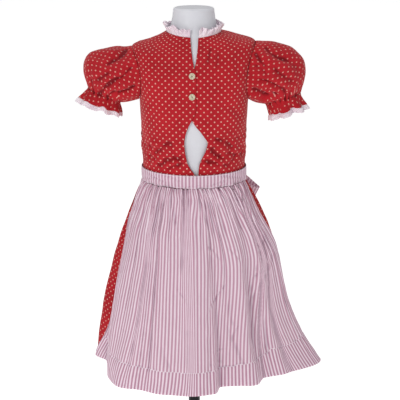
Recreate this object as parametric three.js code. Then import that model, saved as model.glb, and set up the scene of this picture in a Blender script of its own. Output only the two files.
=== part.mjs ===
// A child's dirndl with a striped apron, worn by a limbless dress form on a pole stand.
// Units are millimetres and +Z is up. The front faces -Y, and left and right are the wearer's,
// so the left sleeve is on +X. The origin is the centre of the stand's underside, on the floor.
import * as THREE from "three";

// ---------------------------------------------------------------- driving sizes
const CLOTH = 1.2; // thickness of a cloth wall
const SEAM_GAP = 0.32; // space left between two sewn pieces
const HEM_HEIGHT = 300; // apron hem above the floor
const WAIST_SEAM = 668; // bodice meets skirt, under the apron band
const BAND_TOP = 680;
const BAND_BOTTOM = 656;
const FORM_BOTTOM = 508;
const FORM_TOP = 964;
const BUTTON_DIAMETER = 11;
const BUTTON_HEIGHTS = [856, 821];
const POLE_DIAMETER = 22;
const BASE_DIAMETER = 280;
const BASE_THICKNESS = 9;

// ---------------------------------------------------------------- small helpers
const radians = (degrees) => (degrees * Math.PI) / 180;
const mix = (a, b, t) => a + (b - a) * t;
const clamp = (x, low, high) => Math.min(high, Math.max(low, x));
const smooth = (from, to, x) => {
  const t = clamp((x - from) / (to - from), 0, 1);
  return t * t * (3 - 2 * t);
};
const range = (count) => Array.from({ length: count }, (_, i) => i);
// count + 1 even steps from one value to another
const steps = (from, to, count) => range(count + 1).map((i) => mix(from, to, i / count));
const named = (columns, rows) =>
  rows.map((row) => Object.fromEntries(columns.map((name, i) => [name, row[i]])));

// A smooth curve through one column of a table against another, with no overshoot between rows.
function curve(rows, from, to, period = 0) {
  let points = rows.map((row) => [row[from], row[to]]);
  if (period) {
    const shifted = (turns) => points.map(([x, y]) => [x + turns * period, y]);
    points = [...shifted(-1), ...points, ...shifted(1)];
  }
  const secants = points.slice(1).map(([x, y], i) => (y - points[i][1]) / (x - points[i][0]));
  const slopes = points.map((_, i) => {
    const before = secants[Math.max(0, i - 1)];
    const after = secants[Math.min(secants.length - 1, i)];
    return before * after <= 0 ? 0 : (2 * before * after) / (before + after);
  });
  return (x) => {
    let i = 0;
    while (i < points.length - 2 && x > points[i + 1][0]) i++;
    const [x0, y0] = points[i];
    const [x1, y1] = points[i + 1];
    const width = x1 - x0;
    const t = clamp((x - x0) / width, 0, 1);
    const rest = 1 - t;
    return (
      y0 * (1 + 2 * t) * rest * rest +
      y1 * t * t * (3 - 2 * t) +
      width * (slopes[i] * t * rest * rest - slopes[i + 1] * t * t * rest)
    );
  };
}

// The unit normal of surface(u, v), on the side of du x dv.
function normalOf(surface, u, v, du, dv) {
  const alongU = surface(u + du, v).sub(surface(u - du, v));
  const alongV = surface(u, v + dv).sub(surface(u, v - dv));
  return alongU.cross(alongV).normalize();
}

function meshOf(name, points, triangles, material) {
  const geometry = new THREE.BufferGeometry();
  geometry.setAttribute(
    "position",
    new THREE.Float32BufferAttribute(points.flatMap((p) => [p.x, p.y, p.z]), 3),
  );
  geometry.setIndex(triangles);
  geometry.computeVertexNormals();
  const mesh = new THREE.Mesh(geometry, material);
  mesh.name = name;
  return mesh;
}

// A closed wall of cloth. grid holds rows of [u, v]; side is 1 where du x dv points out of the
// garment and -1 where it points in. A looped wall joins its last column to its first.
function clothWall(name, material, options) {
  const { surface, grid, side = 1, loop = false, thickness = CLOTH, du = 0.01, dv = 0.01 } = options;
  const rowCount = grid.length;
  const columnCount = grid[0].length;
  const outer = grid.flat().map(([u, v]) => surface(u, v));
  const inner = grid.flat().map(([u, v], i) =>
    outer[i].clone().addScaledVector(normalOf(surface, u, v, du, dv), -side * thickness),
  );
  const points = [...outer, ...inner];
  const at = (column, row, layer) => layer * outer.length + row * columnCount + (column % columnCount);
  const triangles = [];
  const quad = (a, b, c, d) => {
    if (side > 0) triangles.push(a, b, c, a, c, d);
    else triangles.push(a, c, b, a, d, c);
  };
  const spans = loop ? columnCount : columnCount - 1;
  for (const i of range(spans)) {
    for (const j of range(rowCount - 1)) {
      quad(at(i, j, 0), at(i + 1, j, 0), at(i + 1, j + 1, 0), at(i, j + 1, 0));
      quad(at(i, j, 1), at(i, j + 1, 1), at(i + 1, j + 1, 1), at(i + 1, j, 1));
    }
    const last = rowCount - 1;
    quad(at(i, 0, 1), at(i + 1, 0, 1), at(i + 1, 0, 0), at(i, 0, 0));
    quad(at(i, last, 0), at(i + 1, last, 0), at(i + 1, last, 1), at(i, last, 1));
  }
  if (!loop) {
    const last = columnCount - 1;
    for (const j of range(rowCount - 1)) {
      quad(at(0, j, 1), at(0, j, 0), at(0, j + 1, 0), at(0, j + 1, 1));
      quad(at(last, j, 0), at(last, j, 1), at(last, j + 1, 1), at(last, j + 1, 0));
    }
  }
  return meshOf(name, points, triangles, material);
}

// ---------------------------------------------------------------- materials
const finish = (color, roughness, metalness = 0) =>
  new THREE.MeshStandardMaterial({ color, roughness, metalness });
const dottedCotton = finish(0xb3252f, 0.85);
const stripedCotton = finish(0xd2b4c2, 0.85);
const paleLace = finish(0xe6d8e0, 0.8);
const hornButton = finish(0xd8cfb8, 0.45);
const formShell = finish(0xd6d6da, 0.5);
const darkSteel = finish(0x1b1b1e, 0.35, 0.6);

// ---------------------------------------------------------------- the torso that the bodice follows
// One row for each ring, from the waist to the neckline, then on to the neck of the form.
const TORSO = named(
  ["level", "halfWidth", "front", "back", "sideZ", "frontZ", "backZ", "squareness"],
  [
    [-3, 99, 84, 88, 508, 508, 508, 0],
    [-2, 100, 85, 90, 560, 560, 560, 0],
    [-1, 96, 81, 82, 620, 620, 620, 0],
    [0, 92.5, 79, 74, WAIST_SEAM, WAIST_SEAM, WAIST_SEAM, 0],
    [0.2, 92.5, 79, 74, 681, 681, 681, 0],
    [1, 94, 83, 76, 735, 733, 735, 0.025],
    [2, 97, 87, 79, 802, 798, 802, 0.045],
    [3, 102.5, 84, 76, 853, 846, 852, 0.06],
    [4, 108.5, 70, 62, 901, 884, 897, 0.05],
    [5, 79, 57, 53, 912, 903, 917, 0.02],
    [6, 49, 47, 45, 923, 917, 929, 0],
    [7, 39.5, 38, 38, 941, 937, 945, 0],
    [8, 36.5, 35.5, 35.5, 957, 956, 957, 0],
  ],
);
const torsoColumn = Object.fromEntries(
  Object.keys(TORSO[0])
    .filter((column) => column !== "level")
    .map((column) => [column, curve(TORSO, "level", column)]),
);

// How far a rounded section reaches sideways and forwards at an angle, as shares of its half sizes.
const sectionReach = (angle, squareness) => ({
  aside: (Math.sin(angle) + squareness * Math.sin(3 * angle)) / (1 - squareness),
  ahead: (Math.cos(angle) - squareness * Math.cos(3 * angle)) / (1 - squareness),
});

// The bodice sits a little askew, so its right shoulder is lower than its left one. The lift comes in
// between the levels of the underarm and the shoulder tip, and is gone at the neckline.
const SHOULDER_LIFT = { left: 3, right: -4.5, starts: 3, full: 4, fades: 4.8, ends: 6 };
function shoulderLift(turn, level) {
  const aside = Math.sin(turn);
  const lift = aside > 0 ? SHOULDER_LIFT.left : SHOULDER_LIFT.right;
  const risen = smooth(SHOULDER_LIFT.starts, SHOULDER_LIFT.full, level);
  const faded = smooth(SHOULDER_LIFT.fades, SHOULDER_LIFT.ends, level);
  return lift * smooth(0, 0.9, Math.abs(aside)) * risen * (1 - faded);
}

// Outer surface of the bodice. The angle is in degrees from the front centre towards +X.
function torso(angle, level) {
  const turn = radians(angle);
  const ring = (column) => torsoColumn[column](level);
  const { aside, ahead } = sectionReach(turn, ring("squareness"));
  const depth = ahead > 0 ? ring("front") : ring("back");
  const centreZ = ahead > 0 ? ring("frontZ") : ring("backZ");
  const z = mix(ring("sideZ"), centreZ, Math.cos(turn) ** 2);
  return new THREE.Vector3(ring("halfWidth") * aside, -depth * ahead, z + shoulderLift(turn, level));
}
const TORSO_STEP = { du: 0.5, dv: 0.02 }; // degrees and levels over which its slope is taken
const torsoNormal = (angle, level) => normalOf(torso, angle, level, TORSO_STEP.du, TORSO_STEP.dv);

// The angle at which the front of a ring is this far from the centre line.
function frontAngle(x, level) {
  const squareness = torsoColumn.squareness(level);
  const share = (x / torsoColumn.halfWidth(level)) * (1 - squareness);
  return (Math.asin(clamp(share / (1 + 3 * squareness), -1, 1)) * 180) / Math.PI;
}

// ---------------------------------------------------------------- bodice
const ARMHOLE = { level: 3, halfHeight: 1, halfAngle: 33 };
const ARMHOLE_STEPS = 8;
const SIDE_SEAM = 90;
const NECKLINE_LEVEL = 6;

// Rows of the bodice: even below the underarm, closer together at the ends of the armhole.
const bodiceLevels = [
  ...steps(0, ARMHOLE.level - ARMHOLE.halfHeight, 6).slice(0, -1),
  ...range(ARMHOLE_STEPS + 1).map(
    (k) => ARMHOLE.level - ARMHOLE.halfHeight * Math.cos((Math.PI * k) / ARMHOLE_STEPS),
  ),
  4.35, 4.9, 5.45, NECKLINE_LEVEL,
];

// How far the armhole reaches from the side seam at a level, in degrees.
function armholeReach(level) {
  const share = clamp((level - ARMHOLE.level) / ARMHOLE.halfHeight, -1, 1);
  return ARMHOLE.halfAngle * Math.sqrt(1 - share * share);
}

// Front edges of the two fronts, as distances from the centre line towards the wearer's left.
// They part at the neck and again below the lower button.
const FRONT_EDGES = named(
  ["z", "rightEdge", "leftEdge"],
  [
    [660, 6, 8],
    [678, 2.6, 8.3],
    [697, -8.9, 9.9],
    [712, -13.2, 15.7],
    [724, -15.4, 21],
    [738, -16.4, 24.3],
    [752, -14.4, 16.5],
    [769, -8.4, 3.2],
    [781, -2.4, -3.4],
    [800, 4.2, -5],
    [850, 4.6, -5],
    [862, 4.4, -3.4],
    [869, 1.2, 1.8],
    [918, -5.6, 8.4],
    [930, -6, 9],
  ],
);
const rightEdgeAt = curve(FRONT_EDGES, "z", "rightEdge");
const leftEdgeAt = curve(FRONT_EDGES, "z", "leftEdge");
const frontEdgeAngle = (edgeAt, level) => frontAngle(edgeAt(torsoColumn.frontZ(level)), level);
const seamAngle = (level) => ((SEAM_GAP / 2 / torsoColumn.back(level)) * 180) / Math.PI;

// The left front lies under the right one, so its front strip is set in by a layer of cloth. The
// strip is set in fully up to one distance from the centre line, and not at all from another.
const UNDERLAP = { inset: CLOTH + SEAM_GAP + 0.1, full: 9, none: 19 };
function underlapTorso(angle, level) {
  const point = torso(angle, level);
  const depth = UNDERLAP.inset * smooth(UNDERLAP.none, UNDERLAP.full, point.x);
  return point.addScaledVector(torsoNormal(angle, level), -depth);
}

const FRONT_COLUMNS = 9;
const BACK_COLUMNS = 16;
const bodiceGrid = (columns, from, to) =>
  bodiceLevels.map((level) => steps(from(level), to(level), columns).map((angle) => [angle, level]));
const bodiceWall = (name, surface, columns, from, to) =>
  clothWall(name, dottedCotton, { surface, grid: bodiceGrid(columns, from, to), ...TORSO_STEP });
const frontSide = (level) => SIDE_SEAM - armholeReach(level) - seamAngle(level);
const backSide = (level) => SIDE_SEAM + armholeReach(level) + seamAngle(level);

const bodice = [
  bodiceWall("bodice_front_left", underlapTorso, FRONT_COLUMNS,
    (level) => frontEdgeAngle(leftEdgeAt, level), frontSide),
  bodiceWall("bodice_front_right", torso, FRONT_COLUMNS,
    (level) => -frontSide(level), (level) => frontEdgeAngle(rightEdgeAt, level)),
  bodiceWall("bodice_back", torso, BACK_COLUMNS,
    backSide, (level) => 360 - backSide(level)),
];

// ---------------------------------------------------------------- puff sleeves
// mirror is 1 on the wearer's left and -1 on the right. The cuff is the ring that the elastic draws
// in: tilt lifts its outer side, and nod lifts its front side, both in degrees.
const SLEEVES = named(
  ["name", "mirror", "cuffX", "cuffY", "cuffZ", "cuffRadius", "tilt", "nod",
    "headReach", "headRise", "puff", "crown", "outerFlare", "innerFlare", "innerLength"],
  [
    ["sleeve_left", 1, 158, -4, 803.5, 31, 18, 6, 76, 2, 49, 49, 5, -1, 0.95],
    ["sleeve_right", -1, 159, -4, 811, 30.5, 25, 3, 55, -12, 61, 61, 7, 9, 0.75],
  ],
);
const SLEEVE_COLUMNS = 36;
const PUFF_ROWS = 7;
const FLOUNCE = { length: 23.5, waves: 8, waveDepth: 3.4, rows: 2 };
const HEAD_GATHERS = { count: 9, depth: 1.9 };
const CUFF_GATHERS = { count: 9, depth: 1.9 };
const CUFF_LACE = { length: 9, flare: 2.5, thickness: 1 };
const ARMHOLE_CENTRE = { x: 102, y: 2, z: 853 };
// The same four values as in the table, at the underarm, where the sleeve is short and flat.
const UNDERARM = { headReach: 8, headRise: 3, puff: 6, crown: 1 };
const SIDE_FULLNESS = 7; // how far front and back of the sleeve's head stand away from the armhole

function cuffFrame({ mirror, cuffX, cuffY, cuffZ, tilt, nod }) {
  const up = new THREE.Vector3(mirror * Math.cos(radians(tilt)), 0, Math.sin(radians(tilt)));
  const fore = new THREE.Vector3(0, -Math.cos(radians(nod)), Math.sin(radians(nod)));
  const away = new THREE.Vector3().crossVectors(up, fore).multiplyScalar(mirror).normalize();
  return { centre: new THREE.Vector3(mirror * cuffX, cuffY, cuffZ), up, fore, away };
}

// A sleeve's surface. u runs once round from the shoulder tip by way of the front, v from 0 at the
// armhole to 1 at the elastic, on to 2 at the flounce's edge and 3 at the lace's edge.
function sleeveSurface(sleeve) {
  const { mirror, cuffRadius, headReach, headRise, puff, crown } = sleeve;
  const frame = cuffFrame(sleeve);
  const out = new THREE.Vector3(mirror, 0, 0);
  const armholeCentre = new THREE.Vector3(mirror * ARMHOLE_CENTRE.x, ARMHOLE_CENTRE.y, ARMHOLE_CENTRE.z);

  const armholePoint = (turn) => {
    const angle = mirror * (SIDE_SEAM - ARMHOLE.halfAngle * Math.sin(turn));
    const point = torso(angle, ARMHOLE.level + ARMHOLE.halfHeight * Math.cos(turn));
    return point.addScaledVector(out, SEAM_GAP + 0.15);
  };
  const cuffDirection = (turn) =>
    frame.up.clone().multiplyScalar(Math.cos(turn)).addScaledVector(frame.fore, Math.sin(turn));

  const bodyPoint = (turn, v) => {
    const start = armholePoint(turn);
    const radial = start.clone().sub(armholeCentre).setX(0).normalize();
    const top = (1 + Math.cos(turn)) / 2;
    const rise = mix(UNDERARM.headRise, headRise, top) + SIDE_FULLNESS * Math.abs(Math.sin(turn));
    const startPull = start.clone()
      .addScaledVector(out, mix(UNDERARM.headReach, headReach, top))
      .addScaledVector(radial, rise);
    const direction = cuffDirection(turn);
    const end = frame.centre.clone().addScaledVector(direction, cuffRadius);
    const endPull = end.clone()
      .addScaledVector(direction, mix(UNDERARM.puff, puff, top))
      .addScaledVector(frame.away, -mix(UNDERARM.crown, crown, top));
    const rest = 1 - v;
    return start.multiplyScalar(rest ** 3)
      .addScaledVector(startPull, 3 * rest * rest * v)
      .addScaledVector(endPull, 3 * rest * v * v)
      .addScaledVector(end, v ** 3);
  };

  const gatherDepth = (turn, v) => {
    const top = smooth(0.1, 0.75, (1 + Math.cos(turn)) / 2);
    const head = HEAD_GATHERS.depth * top * smooth(0, 0.16, v) * (1 - smooth(0.2, 0.62, v));
    const cuff = CUFF_GATHERS.depth * smooth(0.55, 0.9, v) * (1 - 0.55 * smooth(0.9, 1, v));
    return -head * (1 + Math.cos(HEAD_GATHERS.count * turn)) / 2
      - cuff * (1 + Math.cos(CUFF_GATHERS.count * turn + 0.8)) / 2;
  };

  const flouncePoint = (turn, v) => {
    const ofCloth = Math.min(v - 1, 1);
    const ofLace = Math.max(0, v - 2);
    const top = (1 + Math.cos(turn)) / 2;
    const flare = mix(sleeve.innerFlare, sleeve.outerFlare, top) * ofCloth ** 1.2
      + CUFF_LACE.flare * ofLace;
    const length = mix(sleeve.innerLength, 1, top)
      * (FLOUNCE.length * ofCloth + CUFF_LACE.length * ofLace);
    const wave = FLOUNCE.waveDepth * smooth(0, 1.2, v - 1)
      * Math.sin(FLOUNCE.waves * turn + 0.7 * Math.sin(2 * turn));
    return frame.centre.clone()
      .addScaledVector(cuffDirection(turn), cuffRadius + flare + wave)
      .addScaledVector(frame.away, length);
  };

  return (u, v) => {
    const turn = radians(u);
    if (v > 1) return flouncePoint(turn, v);
    const point = bodyPoint(turn, v);
    const depth = gatherDepth(turn, v);
    if (!depth) return point;
    const normal = normalOf((a, b) => bodyPoint(radians(a), b), u, v, 0.5, 0.01);
    return point.addScaledVector(normal, sleeve.mirror * depth);
  };
}

const turns = range(SLEEVE_COLUMNS).map((i) => (360 * i) / SLEEVE_COLUMNS);
const sleeveGrid = (rows) => rows.map((v) => turns.map((u) => [u, v]));
const SLEEVE_EDGE = 0.02; // share of a length left free at the seams between cloth and lace
const sleeves = SLEEVES.flatMap((sleeve) => {
  const surface = sleeveSurface(sleeve);
  const side = sleeve.mirror;
  const clothRows = [
    ...steps(0, 1, PUFF_ROWS),
    ...steps(1, 2 - SLEEVE_EDGE, FLOUNCE.rows).slice(1),
  ];
  const laceRows = [2 + SLEEVE_EDGE, 3];
  const loopWall = { surface, side, loop: true, du: 0.5 };
  return [
    clothWall(sleeve.name, dottedCotton, { ...loopWall, grid: sleeveGrid(clothRows) }),
    clothWall(sleeve.name.replace("sleeve", "cuff_lace"), paleLace,
      { ...loopWall, grid: sleeveGrid(laceRows), thickness: CUFF_LACE.thickness }),
  ];
});

// ---------------------------------------------------------------- neck ruffle
const NECK_RUFFLE = {
  height: 11, inset: 0.6, frontLean: 0.35, sideLean: 1.4, waves: 20, waveDepth: 2.2, columns: 80, thickness: 1,
};
const NECK_ENDS = { left: 9.2, right: -6.2 }; // distances of its ends from the centre line
const neckEdge = {
  left: frontAngle(NECK_ENDS.left, NECKLINE_LEVEL),
  right: frontAngle(NECK_ENDS.right, NECKLINE_LEVEL),
};
function ruffleSurface(angle, rise) {
  const base = torso(angle, NECKLINE_LEVEL);
  const outward = new THREE.Vector3(base.x, base.y, 0).normalize();
  const share = (angle - neckEdge.left) / (360 + neckEdge.right - neckEdge.left);
  const wave = NECK_RUFFLE.waveDepth * rise * Math.sin(2 * Math.PI * NECK_RUFFLE.waves * share);
  const lean = NECK_RUFFLE.frontLean + NECK_RUFFLE.sideLean * Math.sin(radians(angle)) ** 2;
  return base
    .addScaledVector(outward, (lean + wave) * rise - NECK_RUFFLE.inset)
    .setZ(base.z + SEAM_GAP + 0.2 + NECK_RUFFLE.height * rise);
}
const neckRuffle = clothWall("neck_ruffle", paleLace, {
  surface: ruffleSurface,
  grid: [0, 1].map((rise) =>
    steps(neckEdge.left, 360 + neckEdge.right, NECK_RUFFLE.columns).map((angle) => [angle, rise])),
  thickness: NECK_RUFFLE.thickness,
  du: 0.3,
});

// ---------------------------------------------------------------- skirt
// The hem's outline seen from above: distance from the pole at each angle from the front centre.
// The apron lies in the same large folds. Steep steps are the sides of those folds.
const HEM_OUTLINE = named(
  ["angle", "radius"],
  [
    [-160, 166], [-148, 158], [-136, 178], [-124, 168], [-110, 190],
    [-93, 188], [-83, 162], [-70, 165], [-56, 180], [-49, 183], [-33, 170], [-17, 167],
    [2, 165], [13, 161], [20, 136], [32, 147], [43, 162], [51, 155], [67, 182],
    [87, 238], [97, 230], [108, 212], [118, 196], [130, 186], [142, 166], [154, 172],
    [167, 155], [182, 164],
  ],
);
const hemRadius = curve(HEM_OUTLINE, "angle", "radius", 360);
const SKIRT_DROP = WAIST_SEAM - HEM_HEIGHT;
const FLARE_START = (WAIST_SEAM - BAND_BOTTOM) / SKIRT_DROP;
const WAIST = TORSO.find((row) => row.level === 0);

function waistRadius(angle) {
  const turn = radians(angle);
  const depth = Math.cos(turn) > 0 ? WAIST.front : WAIST.back;
  return 1 / Math.hypot(Math.sin(turn) / WAIST.halfWidth, Math.cos(turn) / depth);
}

// Share of the way from the waist to the hem's outline at a share of the drop. The right side rounds
// out early, and the left side hangs straight and kicks out at the hem.
const SPREAD = { bulge: 0.06, rightBulge: 0.68, leftSway: 0.07, leftHang: 0.3 };
function skirtSpread(angle, wholeDrop) {
  const drop = clamp((wholeDrop - FLARE_START) / (1 - FLARE_START), 0, 1);
  const aside = Math.sin(radians(angle));
  const rightSide = ((1 - aside) / 2) ** 2;
  const leftSide = ((1 + aside) / 2) ** 2;
  const bulge = (SPREAD.bulge + SPREAD.rightBulge * rightSide) * drop * (1 - drop);
  const sway = SPREAD.leftSway * Math.sin(2 * Math.PI * drop);
  return drop + bulge + leftSide * (sway - SPREAD.leftHang * drop * drop * (1 - drop));
}

// Distance from the pole of the smooth shape that skirt and apron hang on.
const skirtRadius = (angle, drop) =>
  mix(waistRadius(angle), hemRadius(angle), skirtSpread(angle, drop));

function onSkirt(angle, drop, lift) {
  const turn = radians(angle);
  const radius = skirtRadius(angle, drop) + lift;
  return new THREE.Vector3(
    radius * Math.sin(turn), -radius * Math.cos(turn), WAIST_SEAM - SKIRT_DROP * drop);
}

const SKIRT_GATHERS = { front: 13, back: 20, depth: 3.6 };
const SKIRT_FOLDS = { perTurn: 17, depth: 7 };
const SKIRT_TOP = (SEAM_GAP + 0.1) / SKIRT_DROP;
const SKIRT_HEM = 1 - 3 / SKIRT_DROP;
const SKIRT_SIDE = 92; // side seams, just behind the widest point
// All gathers of the skirt are pressed inwards, so that it stays under the apron.
function skirtSurface(angle, drop) {
  const turn = radians(angle);
  const inFront = angle < SKIRT_SIDE;
  const share = inFront
    ? (angle + SKIRT_SIDE) / (2 * SKIRT_SIDE)
    : (angle - SKIRT_SIDE) / (360 - 2 * SKIRT_SIDE);
  const gathers = inFront ? SKIRT_GATHERS.front : SKIRT_GATHERS.back;
  const gather = (1 - Math.cos(2 * Math.PI * gathers * share)) / 2;
  const fold = (1 - Math.cos(SKIRT_FOLDS.perTurn * turn + 1.4 * Math.sin(3 * turn))) / 2;
  const gatherDepth = SKIRT_GATHERS.depth * smooth(0.03, 0.12, drop) * (1 - smooth(0.15, 0.6, drop));
  const foldDepth = SKIRT_FOLDS.depth * smooth(0.05, 0.75, drop);
  return onSkirt(angle, drop, -gather * gatherDepth - fold * foldDepth);
}
const skirtDrops = [SKIRT_TOP, FLARE_START, 0.1, 0.24, 0.42, 0.66, SKIRT_HEM];
const skirtWall = (name, from, to, columns) =>
  clothWall(name, dottedCotton, {
    surface: skirtSurface,
    grid: skirtDrops.map((drop) => steps(from, to, columns).map((angle) => [angle, drop])),
    side: -1,
    du: 0.6,
  });
const skirtSeam = 0.12; // degrees
const skirt = [
  skirtWall("skirt_front", -SKIRT_SIDE + skirtSeam, SKIRT_SIDE - skirtSeam, 4 * SKIRT_GATHERS.front),
  skirtWall("skirt_back", SKIRT_SIDE + skirtSeam, 360 - SKIRT_SIDE - skirtSeam, 4 * SKIRT_GATHERS.back),
];

// ---------------------------------------------------------------- apron
const APRON_EDGES = named(
  ["drop", "rightEdge", "leftEdge"],
  [
    [0, -80, 81], [0.08, -79, 73], [0.2, -78.5, 69], [0.3, -79, 73], [0.42, -80, 83],
    [0.6, -81, 88], [0.85, -88, 88.5], [1, -93.5, 89],
  ],
);
const apronRightEdge = curve(APRON_EDGES, "drop", "rightEdge");
const apronLeftEdge = curve(APRON_EDGES, "drop", "leftEdge");
const APRON_SPAN = { right: -80, left: 83 }; // degrees that its even stripes would cover
const APRON_GATHERS = { count: 26, depth: 3.2 };
const APRON_FOLDS = { count: 9, depth: 4.5, hemLoss: 0.4 };
const APRON_TOP = FLARE_START + SEAM_GAP / SKIRT_DROP;
const APRON_LIFT = { top: 1.9, full: 4.6 };

// The apron's panel: u runs across it from the wearer's right edge, and its gathers stand outwards.
function apronSurface(u, drop) {
  const angle = mix(APRON_SPAN.right, APRON_SPAN.left, u)
    + (apronLeftEdge(drop) - APRON_SPAN.left) * smooth(0.55, 1, u)
    + (apronRightEdge(drop) - APRON_SPAN.right) * smooth(0.4, 0, u);
  const lift = mix(APRON_LIFT.top, APRON_LIFT.full, smooth(APRON_TOP, 0.12, drop));
  const gather = (1 - Math.cos(2 * Math.PI * APRON_GATHERS.count * u)) / 2;
  const fold = (1 - Math.cos(2 * Math.PI * (APRON_FOLDS.count * u + 0.25 * Math.sin(5 * u)))) / 2;
  const gathered = smooth(APRON_TOP, 0.11, drop) * (1 - smooth(0.12, 0.7, drop));
  const folded = smooth(0.08, 0.6, drop) * (1 - APRON_FOLDS.hemLoss * smooth(0.7, 1, drop));
  const relief = gather * APRON_GATHERS.depth * gathered + fold * APRON_FOLDS.depth * folded;
  return onSkirt(angle, drop, lift + relief);
}
const apronDrops = [APRON_TOP, 0.1, 0.24, 0.42, 0.66, 1];
const apronPanel = clothWall("apron_panel", stripedCotton, {
  surface: apronSurface,
  grid: apronDrops.map((drop) => steps(0, 1, APRON_GATHERS.count * 4).map((u) => [u, drop])),
  side: -1,
  du: 0.002,
});

// The band and its ties lie round the waist seam, over bodice and skirt.
const BAND = { clearance: 1.1, thickness: 1.5, endAngle: 84 };
const KNOT = { width: 22, height: 26, depth: 15 };
function bandSurface(angle, height) {
  const reach = waistRadius(angle) + BAND.clearance + BAND.thickness;
  const turn = radians(angle);
  return new THREE.Vector3(reach * Math.sin(turn), -reach * Math.cos(turn), height);
}
const bandWall = (name, from, to, columns) =>
  clothWall(name, stripedCotton, {
    surface: bandSurface,
    grid: [BAND_BOTTOM, BAND_TOP].map((height) =>
      steps(from, to, columns).map((angle) => [angle, height])),
    thickness: BAND.thickness,
    du: 0.3,
    dv: 0.5,
  });
const bandSeam = 0.12; // degrees
const bands = [
  bandWall("apron_waistband", -BAND.endAngle, BAND.endAngle, 36),
  bandWall("apron_tie_left", BAND.endAngle + 2 * bandSeam, 180 - bandSeam, 18),
  bandWall("apron_tie_right", 180 + bandSeam, 360 - BAND.endAngle - 2 * bandSeam, 18),
];

// ---------------------------------------------------------------- bow at the back
// From the inside out: tie, tail, knot. The loops come out of the knot's sides.
const BOW_WIDTH = 25;
const TAIL_LIFT = BAND.clearance + BAND.thickness + SEAM_GAP + CLOTH;
const BACK_OF_KNOT = WAIST.back + TAIL_LIFT + SEAM_GAP + 0.1;
// Each loop follows a path seen from behind: aside from the centre, height, and distance behind the
// tails. Its width lies across the path.
const BOW_PATHS = {
  bow_loop_left: [
    [11.5, 671, 6.5], [45, 658, 16], [80, 634, 22], [108, 611, 17], [120, 601, 9],
    [110, 604, 2], [80, 622, 1.5], [45, 645, 2.5], [11.5, 664, 1.7],
  ],
  bow_loop_right: [
    [-11.5, 671, 6.5], [-42, 662, 17], [-72, 638, 24], [-92, 607, 19], [-97, 592, 11],
    [-89, 597, 5], [-66, 618, 3], [-40, 646, 3.5], [-11.5, 664, 1.7],
  ],
};
// The width direction of a loop, as a lean away from straight up.
const BOW_LEAN = { bow_loop_left: 26, bow_loop_right: -34 };
function loopSurface(path, lean) {
  const line = new THREE.CatmullRomCurve3(
    path.map(([x, z, away]) => new THREE.Vector3(x, BACK_OF_KNOT + away, z)));
  return (u, v) => {
    const fromKnot = smooth(0, 0.25, Math.min(u, 1 - u));
    const tilt = radians(lean * fromKnot);
    const across = new THREE.Vector3(Math.sin(tilt), 0, Math.cos(tilt));
    return line.getPoint(clamp(u, 0, 1))
      .addScaledVector(across, BOW_WIDTH * mix(0.6, 1, fromKnot) * (v - 0.5));
  };
}
const BOW_STEPS = 24;
const bowLoops = Object.entries(BOW_PATHS).map(([name, path]) =>
  clothWall(name, stripedCotton, {
    surface: loopSurface(path, BOW_LEAN[name]),
    grid: [0, 1].map((v) => steps(0.002, 0.998, BOW_STEPS).map((u) => [u, v])),
    side: path[0][0] > 0 ? -1 : 1,
    du: 0.002,
    dv: 0.05,
  }));

// The tails start between knot and tie, and hang down the back of the skirt, clear of its folds.
// side is 1 on the left of the centre, and spread is the angle of a tail's inner edge at its end.
const TAILS = named(
  ["name", "side", "spread", "endDrop"],
  [["bow_tail_left", 1, 4, 0.62], ["bow_tail_right", -1, 9, 0.55]],
);
const TAIL_TOP = 0.001;
const tails = TAILS.map(({ name, side, spread, endDrop }) => {
  const surface = (u, v) => {
    const drop = mix(TAIL_TOP, endDrop, v);
    const width = BOW_WIDTH * mix(0.5, 1, smooth(0, 0.3, v));
    const aside = radians(mix(0.2, spread, v)) + (width * u) / skirtRadius(180, drop);
    const lift = TAIL_LIFT + 1.4 * Math.sin(2 * Math.PI * u) * v;
    return onSkirt(180 - (side * aside * 180) / Math.PI, drop, lift);
  };
  return clothWall(name, stripedCotton, {
    surface,
    grid: steps(0, 1, 8).map((v) => steps(0, 1, 4).map((u) => [u, v])),
    side,
    du: 0.01,
  });
});

// The knot is one soft barrel over the crossing of the ties.
const knotProfile = steps(-1, 1, 6).map((share) => {
  const bulge = Math.sqrt(Math.max(0, 1 - (0.94 * share) ** 2));
  return new THREE.Vector2((KNOT.width / 2) * bulge, (KNOT.height / 2) * share);
});
const knotGeometry = new THREE.LatheGeometry(
  [new THREE.Vector2(0, -KNOT.height / 2), ...knotProfile, new THREE.Vector2(0, KNOT.height / 2)], 12);
const knot = new THREE.Mesh(knotGeometry, stripedCotton);
knot.name = "bow_knot";
knot.rotation.x = Math.PI / 2;
knot.scale.set(1, 1, KNOT.depth / KNOT.width);
knot.position.set(0, BACK_OF_KNOT + KNOT.depth / 2, (BAND_TOP + BAND_BOTTOM) / 2);

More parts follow.
